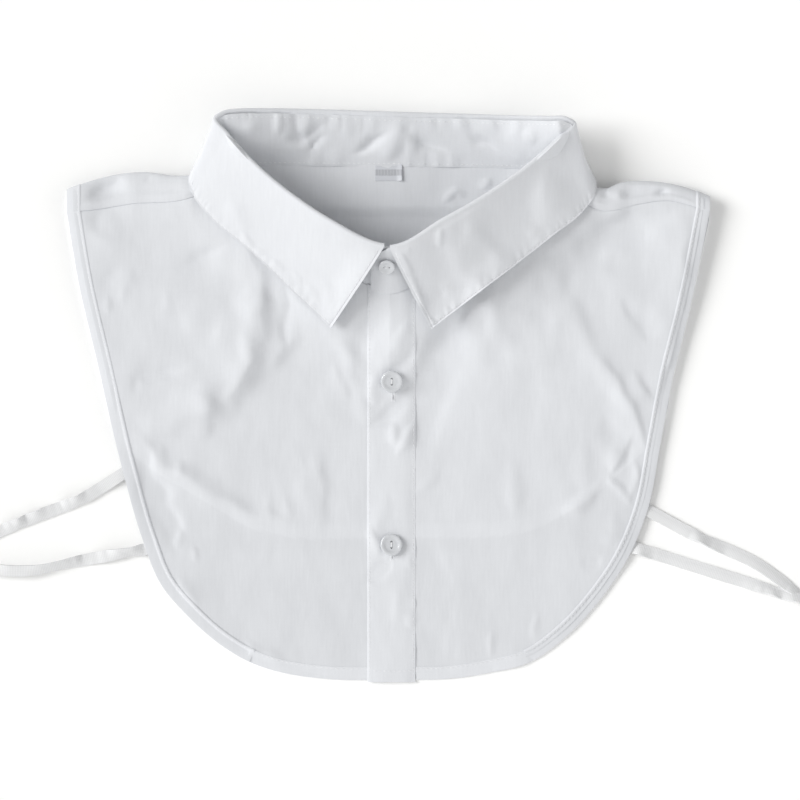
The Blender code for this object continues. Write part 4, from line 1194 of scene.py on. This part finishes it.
def table():
    shape = bmesh.new()
    bmesh.ops.create_grid(shape, x_segments=1, y_segments=1, size=4.0)
    mesh = bpy.data.meshes.new("table")
    shape.to_mesh(mesh)
    shape.free()
    finish = Finish("tableTop", Roughness=0.9, Specular_IOR_Level=0.0)
    finish.shader.inputs["Base Color"].default_value = (1.0, 1.0, 0.99, 1.0)
    finish.shader.inputs["Emission Color"].default_value = (1.0, 1.0, 1.0, 1.0)
    finish.shader.inputs["Emission Strength"].default_value = 0.02
    top = added("table", mesh, finish.material)


lamp("window", light)
lamp("whiteCard", bounce)
sky()
table()
print("table and light set")

# Elastics.
elastic = {"width": 6.0, "wall": 0.9, "cells": (420, 8), "fuller": 0.12, "turnFrom": 0.44, "turnTo": 0.58}
elasticRoutes = {  # from the back's edge out, over a flat fold, and back to the front's binding
    "left": [
        (-124.0, -32.6, 0.5), (-134.3, -39.0, 0.8), (-152.8, -50.3, 0.5), (-174.8, -59.0, 0.5),
        (-194.8, -67.1, 0.5), (-204.5, -72.2, 0.5), (-211.5, -76.8, 0.6), (-214.8, -79.3, 1.2),
        (-215.8, -80.7, 2.2), (-214.6, -81.8, 3.2), (-211.5, -82.9, 3.1), (-205.0, -85.1, 1.7),
        (-194.8, -86.5, 0.5), (-177.3, -86.5, 0.5), (-157.8, -82.5, 0.5), (-140.0, -79.2, 0.5),
        (-126.0, -76.8, 1.0), (-118.5, -75.4, 1.2),
    ],
    "right": [
        (108.7, -45.6, 0.5), (119.0, -51.2, 0.9), (129.8, -57.0, 1.0), (150.3, -68.0, 0.5),
        (162.3, -73.5, 0.5), (183.8, -83.5, 0.5), (196.0, -92.0, 0.5), (203.0, -97.5, 0.6),
        (206.3, -99.9, 1.2), (207.2, -100.7, 2.2), (206.0, -100.8, 3.2), (203.0, -100.2, 3.3),
        (197.0, -98.6, 2.3), (190.0, -96.4, 0.9), (180.8, -93.5, 0.5), (163.0, -88.0, 0.5),
        (147.3, -83.0, 0.5), (129.0, -77.4, 1.0), (118.0, -74.0, 1.2),
    ],
}
elasticLies = {  # how the tape leans and rises off the table: distance out, degrees, mm
    "left": (
        [(118, 0, 0), (129, 2, 0.1), (137, 8, 0.3), (144, 0, 0.4), (150, -8, 0.7), (156, -34, 0.6),
         (160, -20, 0.2), (165, 2, 0), (170, -4, 0.2), (176, -22, 0.2), (181, -8, 0.1), (185, -34, 0.3),
         (189, -14, 0.2), (193, 0, 0), (200, -10, 0)],
        [(118, 0, 0), (122, -8, 0), (129, -46, 0.3), (135, -36, 1.2), (142, -4, 1.4), (148, 2, 0.4),
         (153, -4, 0), (158, -32, 0.1), (163, -44, 0.6), (169, -44, 1.4), (175, -40, 2.1),
         (182, -26, 2.8), (190, -28, 3.0), (200, -12, 2.0)],
    ),
    "right": (
        [(118, 0, 0), (128, -12, 0), (134, -6, 0.1), (142, -2, 0.3), (150, -6, 0.6), (156, -44, 0.5),
         (162, -26, 0.2), (169, -6, 0.2), (177, -12, 0), (188, -20, 0), (196, -24, 0), (203, -30, 0)],
        [(118, 0, 0), (122, -8, 0), (126, -26, 0), (133, -2, 0.2), (140, 0, 0), (150, -4, 0),
         (165, -2, 0.3), (176, 0, 0.2), (182, -8, 0.2), (187, -26, 0), (192, -44, 0), (197, -22, 0),
         (203, -44, 0)],
    ),
}


def elasticStrip(route, lies):
    course = Course(route)
    outWay = unit(course.along(0.4)[:2])
    backWay = unit(-course.along(0.62)[:2])

    def surface(u, v):
        way = unit(course.along(np.clip(u, 0.005, 0.995))[..., :2])
        level = np.where(col(u < 0.5), way, -way)
        turn = col(ease(0.46, 0.56, u))
        turning = (u > elastic["turnFrom"]) & (u < elastic["turnTo"])  # in the flat fold
        level = np.where(col(turning), unit(outWay * (1 - turn) + backWay * turn), level)
        across = stack(-level[..., 1], level[..., 0], 0.0)
        points = course.at(u)
        lean, rise = np.zeros_like(u), np.zeros_like(u)
        for part, places in zip((u < 0.5, u >= 0.5), lies):
            away, degrees, height = np.array(places, float).T
            lean = np.where(part, between(away, np.radians(degrees), np.abs(points[:, 0])), lean)
            rise = np.where(part, between(away, height, np.abs(points[:, 0])), rise)
        leaning = across * col(np.cos(lean)) + np.array((0, 0, 1)) * col(np.sin(lean))
        points += leaning * col(elastic["width"] * (v - 0.5))
        points[:, 2] += rise + elastic["width"] / 2 * np.abs(np.sin(lean))
        points[:, 2] += elastic["fuller"] * np.cos(math.pi * (v - 0.5) * 2)  # down the middle
        return points

    return surface


elasticFinish = elasticTape("wovenElastic")
for side, route in elasticRoutes.items():
    strip = elasticStrip(route, elasticLies[side])
    name = "elastic" + side.capitalize()
    tape = clothPiece(name, strip, elastic["cells"], elastic["wall"], elasticFinish)
    standsFor(tape, "elastic_" + side)
    path = (strip(np.linspace(0, 1, 120), np.full(120, 0.5)) - middle) * mm
    path[:, 2] = np.maximum(path[:, 2], 0.0005)
    length = float(np.linalg.norm(np.diff(path, axis=0), axis=1).sum())
print("elastics laid")

# Bib, collar and trimmings.
poplinFinish = poplin("whitePoplin")
doubledFinish = poplin("whitePoplinDoubled", 1.045)  # less shows through
collarFinish = poplin("whitePoplinStiffened", 1.03)


def frontLayers(x, y):  # what shows through: the back, its doubled hem, and bare table below
    shown = np.zeros_like(x)
    for half in halves.values():
        outline = half.back.at(np.linspace(0.2, 1, 160))
        order = np.argsort(outline[:, 0])
        foot = np.interp(x, outline[order, 0], outline[order, 1])
        over = y - foot
        mine = (x * half.sign > 0) & (np.abs(x) < 138)
        band = ease(-0.6, 0.6, over) * (1 - 0.75 * ease(5.5, 8.5, over))
        bare = 1 - ease(-0.6, 0.6, over)
        shown += mine * (0.028 * band - 0.016 * bare)
    return shown


panels = {  # CAD node, shape, cells across and along, wall and finish
    "frontButtonSide": ("front_button_side", frontPanel("left"), (150, 200), cloth["panel"], poplinFinish),
    "frontHoleSide": ("front_hole_side", frontPanel("right"), (150, 200), cloth["panel"], poplinFinish),
    "backPanel": ("back_panel", backPanel(), (238, 120), cloth["panel"], poplinFinish),
    "placketBand": ("placket", placketStrip, (48, 330), cloth["panel"], doubledFinish),
    "collarStand": ("collar_stand", standBand, (360, 26), cloth["stand"], collarFinish),
    "collarLeaf": ("collar_leaf", leafCloth, (520, 64), cloth["leaf"], collarFinish),
    "backHemBand": ("back_hem", backHem, (140, 8), cloth["doubled"], poplinFinish),
}
pieces = {}
for name, (node, surface, cells, wall, finish) in panels.items():
    layers = frontLayers if name.startswith("front") else None
    pieces[name] = clothPiece(name, surface, cells, wall, finish, layers=layers)
    standsFor(pieces[name], node)
for side, half in halves.items():
    start = placeOfX(half.front, seams["bindingEnd"] + 2.0)
    end = 1.0 if side == "left" else placeOfX(half.front, opening["right"] + 0.2)
    strips = {
        "sideBinding": ("side_binding_", bindingStrip(side), (620, 18)),
        "frontHem": ("front_hem_", hemStrip(half.front, start, end), (90, 18)),
    }
    for name, (node, surface, cells) in strips.items():
        strip = clothPiece(name + side.capitalize(), surface, cells, cloth["doubled"], doubledFinish, 0.2)
        standsFor(strip, node + side)
        pieces[strip.name] = strip
print("cloth cut and laid")

label = {"left": -7.2, "right": 6.3, "foot": 108.0, "top": 116.2, "over": 1.2, "lift": 0.9, "wall": 0.35}


def labelTape(u, v):
    x = label["left"] + (label["right"] - label["left"]) * u
    y = label["foot"] + (label["top"] - label["foot"]) * v
    lifted = label["lift"] * ease(0.7, 1.0, u) ** 2 * (1 - 0.55 * v)  # its right end curls up
    return stack(x, y, backHeight(x, y) + label["over"] + lifted)


satin = satinTape("greySatin", 0.0027, 0.0057)
tag = clothPiece("sizeLabel", labelTape, (40, 22), label["wall"], satin, 0.08)
standsFor(tag, "size_label")

# Stitching.
thread = sewingThread("whiteThread")
line = np.linspace(0, 1, 500)
inset = 1.7  # of the leaf's stitching from its edges
leafEdge = 1 - inset / 42 * 0.7  # the leaf falls 42 mm in the last 0.7 of its rows
leafFront = inset / leaf["frontRow"] / rounds
toShoulder = 205  # the back of the leaf's edge is under the collar
leafTracks = [
    seamTrack(leafSheet, line[:toShoulder], leafEdge, cloth["leaf"]),
    seamTrack(leafSheet, line[-toShoulder:], leafEdge, cloth["leaf"]),
]
for along in (leafFront, 1 - leafFront):
    leafTracks.append(seamTrack(leafSheet, along, np.linspace(0.32, leafEdge, 200), cloth["leaf"]))
sewn("leafStitches", leafTracks, thread)
behind = np.linspace(0.25, 0.75, 300)
standTracks = [seamTrack(standBand, behind, height, cloth["stand"]) for height in (0.93, 0.06)]
sewn("standStitches", standTracks, thread)
down, across = np.linspace(0.01, 0.99, 300), np.linspace(0.05, 0.95, 60)
placketTracks = [seamTrack(placketStrip, share, down, cloth["panel"]) for share in (0.045, 0.955)]
placketTracks.append(seamTrack(placketStrip, across, 0.972, cloth["panel"]))
sewn("placketStitches", placketTracks, thread)
bindingTracks = []
for side, half in halves.items():
    strip = bindingStrip(side)
    bindingTracks.append(seamTrack(strip, np.linspace(0.005, 0.55, 500), 0.87, cloth["doubled"]))
    start = placeOfX(half.front, seams["bindingEnd"])
    end = placeOfX(half.front, 11.5)
    bindingTracks.append(seamTrack(hemStrip(half.front, start, end), line, 0.87, cloth["doubled"]))
sewn("bindingStitches", bindingTracks, thread)
print("seams stitched")

# Buttons.
button = {
    "frontSize": 11.0,
    "collarSize": 8.6,
    "over": 1.25,  # its underside over the middle of the front
    "height": 2.2,
    "rim": 0.75,  # radius of the rounded rim
    "rimMiddle": 1.45,
    "under": 0.3,
    "dish": 0.5,  # depth of the hollow face
    "dishWidth": 2.0,
    "hole": 0.05,  # as shares of the button's size
    "holeOff": 0.13,
    "strandReach": 0.15,
    "shankOff": 0.1,
}


def lathed(name, profile, finish):
    shape = bmesh.new()
    verts = [shape.verts.new((x * mm, 0.0, z * mm)) for x, z in profile]
    edges = [shape.edges.new(pair) for pair in zip(verts, verts[1:])]
    bmesh.ops.spin(shape, geom=verts + edges, cent=(0, 0, 0), axis=(0, 0, 1), angle=math.tau, steps=96,
                   use_merge=True)
    bmesh.ops.remove_doubles(shape, verts=shape.verts, dist=1e-7)
    bmesh.ops.recalc_face_normals(shape, faces=shape.faces)
    mesh = bpy.data.meshes.new(name)
    shape.to_mesh(mesh)
    shape.free()
    return added(name, mesh, finish)


def buttonProfile(radius):
    rim, face = button["rim"], button["height"] - button["dish"]
    outer, middleUp = radius - rim, button["rimMiddle"]
    arc = [(outer + rim * math.cos(a), middleUp + rim * math.sin(a)) for a in np.linspace(-0.9, 1.6, 14)]
    inner = []
    for t in np.linspace(0, 1, 12):
        down = button["dish"] * (3 * t**2 - 2 * t**3)
        inner.append((radius - 2.9 + button["dishWidth"] * (1 - t), button["height"] - down))
    return [(0.0, button["under"]), (radius * 0.6, button["under"]), *arc, *inner, (0.0, face - 0.1)]


def rod(shape, radius, depth, segments, place):
    bmesh.ops.create_cone(shape, cap_ends=True, segments=segments, radius1=radius * mm, radius2=radius * mm,
                          depth=depth * mm, matrix=place)


def drilled(body, size):  # two holes, one above the other
    shape = bmesh.new()
    for way in (-1, 1):
        place = Matrix.Translation((0.0, way * size * button["holeOff"] * mm, 0.0))
        rod(shape, size * button["hole"], 8, 24, place)
    mesh = bpy.data.meshes.new(body.name + "Drill")
    shape.to_mesh(mesh)
    shape.free()
    driller = bpy.data.objects.new(body.name + "Drill", mesh)
    bpy.context.scene.collection.objects.link(driller)
    cut = body.modifiers.new("holes", "BOOLEAN")
    cut.operation = "DIFFERENCE"
    cut.solver = "EXACT"
    cut.object = driller
    finished = bpy.data.meshes.new_from_object(body.evaluated_get(bpy.context.evaluated_depsgraph_get()))
    body.modifiers.clear()
    bpy.data.objects.remove(driller)
    finished.set_sharp_from_angle(angle=math.radians(50))
    return finished


def sewnButton(name, node, centre, out, size, turn):
    body = lathed(name, buttonProfile(size / 2), buttonFinish)
    body.data = drilled(body, size)
    facing = Vector(out).to_track_quat("Z", "Y").to_matrix().to_4x4() @ Matrix.Rotation(turn, 4, "Z")
    put = Matrix.Translation(Vector((np.array(centre) - middle) * mm)) @ facing
    body.data.transform(put)
    standsFor(body, node)
    strands = bmesh.new()
    for shift in (-0.16, 0.0, 0.16):  # three strands across the face, then the shank from each hole
        along = Matrix.Translation((shift * mm, 0.0, (button["height"] - 0.42) * mm))
        slim = Matrix.Diagonal((0.12 * mm, size * button["strandReach"] * mm, 0.12 * mm, 1))
        laid = put @ along @ slim
        bmesh.ops.create_uvsphere(strands, u_segments=8, v_segments=8, radius=1.0, matrix=laid)
    for way in (-1, 1):
        place = Matrix.Translation((0.0, way * size * button["shankOff"] * mm, -0.2 * mm))
        rod(strands, 0.45, 2.4, 12, put @ place)
    tied = bpy.data.meshes.new(name + "Thread")
    strands.to_mesh(tied)
    strands.free()
    standsFor(added(name + "Thread", tied, thread), None)


buttonFinish = buttonPlastic("pearlPlastic")
buttonSpots = {
    "frontButtonUpper": ("front_button_upper", 1.2, 8.0),
    "frontButtonLower": ("front_button_lower", 1.0, -73.8),
}
for name, (node, x, y) in buttonSpots.items():
    here = onFront(np.array([(x, y)]), button["over"])[0]
    rise = frontHeight(np.array(x), np.array(y + 3.0)) - frontHeight(np.array(x), np.array(y - 3.0))
    out = unit(np.array((0.0, -float(rise) / 6, 1.0)))
    sewnButton(name, node, here, out, button["frontSize"], 0.0)
neck, fold, up, out = collarFrame(np.array([rounds + 0.02]))
here = neck[0] * 0.44 + fold[0] * 0.56
sewnButton("collarButton", "collar_button", here, out[0], button["collarSize"], math.pi / 2)

buttonholes = {  # distance from the middle, ends of the hole and ends of the slit that shows
    "Upper": (1.9, (-2.2, 11.0), (-1.8, 3.0)),
    "Lower": (1.4, (-81.5, -70.0), (-81.2, -79.0)),
}
onPlacket = placket["over"] + cloth["panel"] / 2


def holeBars(centre, foot, top):  # two rows of close bars
    tracks = []
    for x in (centre - 0.55, centre + 0.55):
        y = np.arange(foot, top, 0.42)
        middles = onFront(stack(np.full_like(y, x), y), onPlacket)
        ways = np.tile((1.0, 0.0, 0.0), (len(y), 1))
        tracks.append((middles, ways, np.tile((0.0, 0.0, 1.0), (len(y), 1))))
    return tracks


for name, (x, ends, slit) in buttonholes.items():
    sewn("buttonhole" + name, holeBars(x, *ends), thread, 0.9)
# painted shade: a thin dark grey sheet laid where each open buttonhole slit lies in shadow
slitShade = Finish("paintedSlitShade", Roughness=0.9, Specular_IOR_Level=0.0)
slitShade.paint(Base_Color=(0.34, 0.34, 0.36, 1.0))
for name, (x, ends, slit) in buttonholes.items():
    middleOfSlit = onFront(np.array([(x, sum(slit) / 2)]), onPlacket)
    track = (middleOfSlit, np.array([(0.0, 1.0, 0.0)]), np.array([(0.0, 0.0, 1.0)]))
    sewn("slit" + name, [track], slitShade.material, slit[1] - slit[0], 0.12)
print("buttons sewn on")

# The cloth's sizes are printed as each piece is cut.
print("cloth sizes printed as each piece was cut")
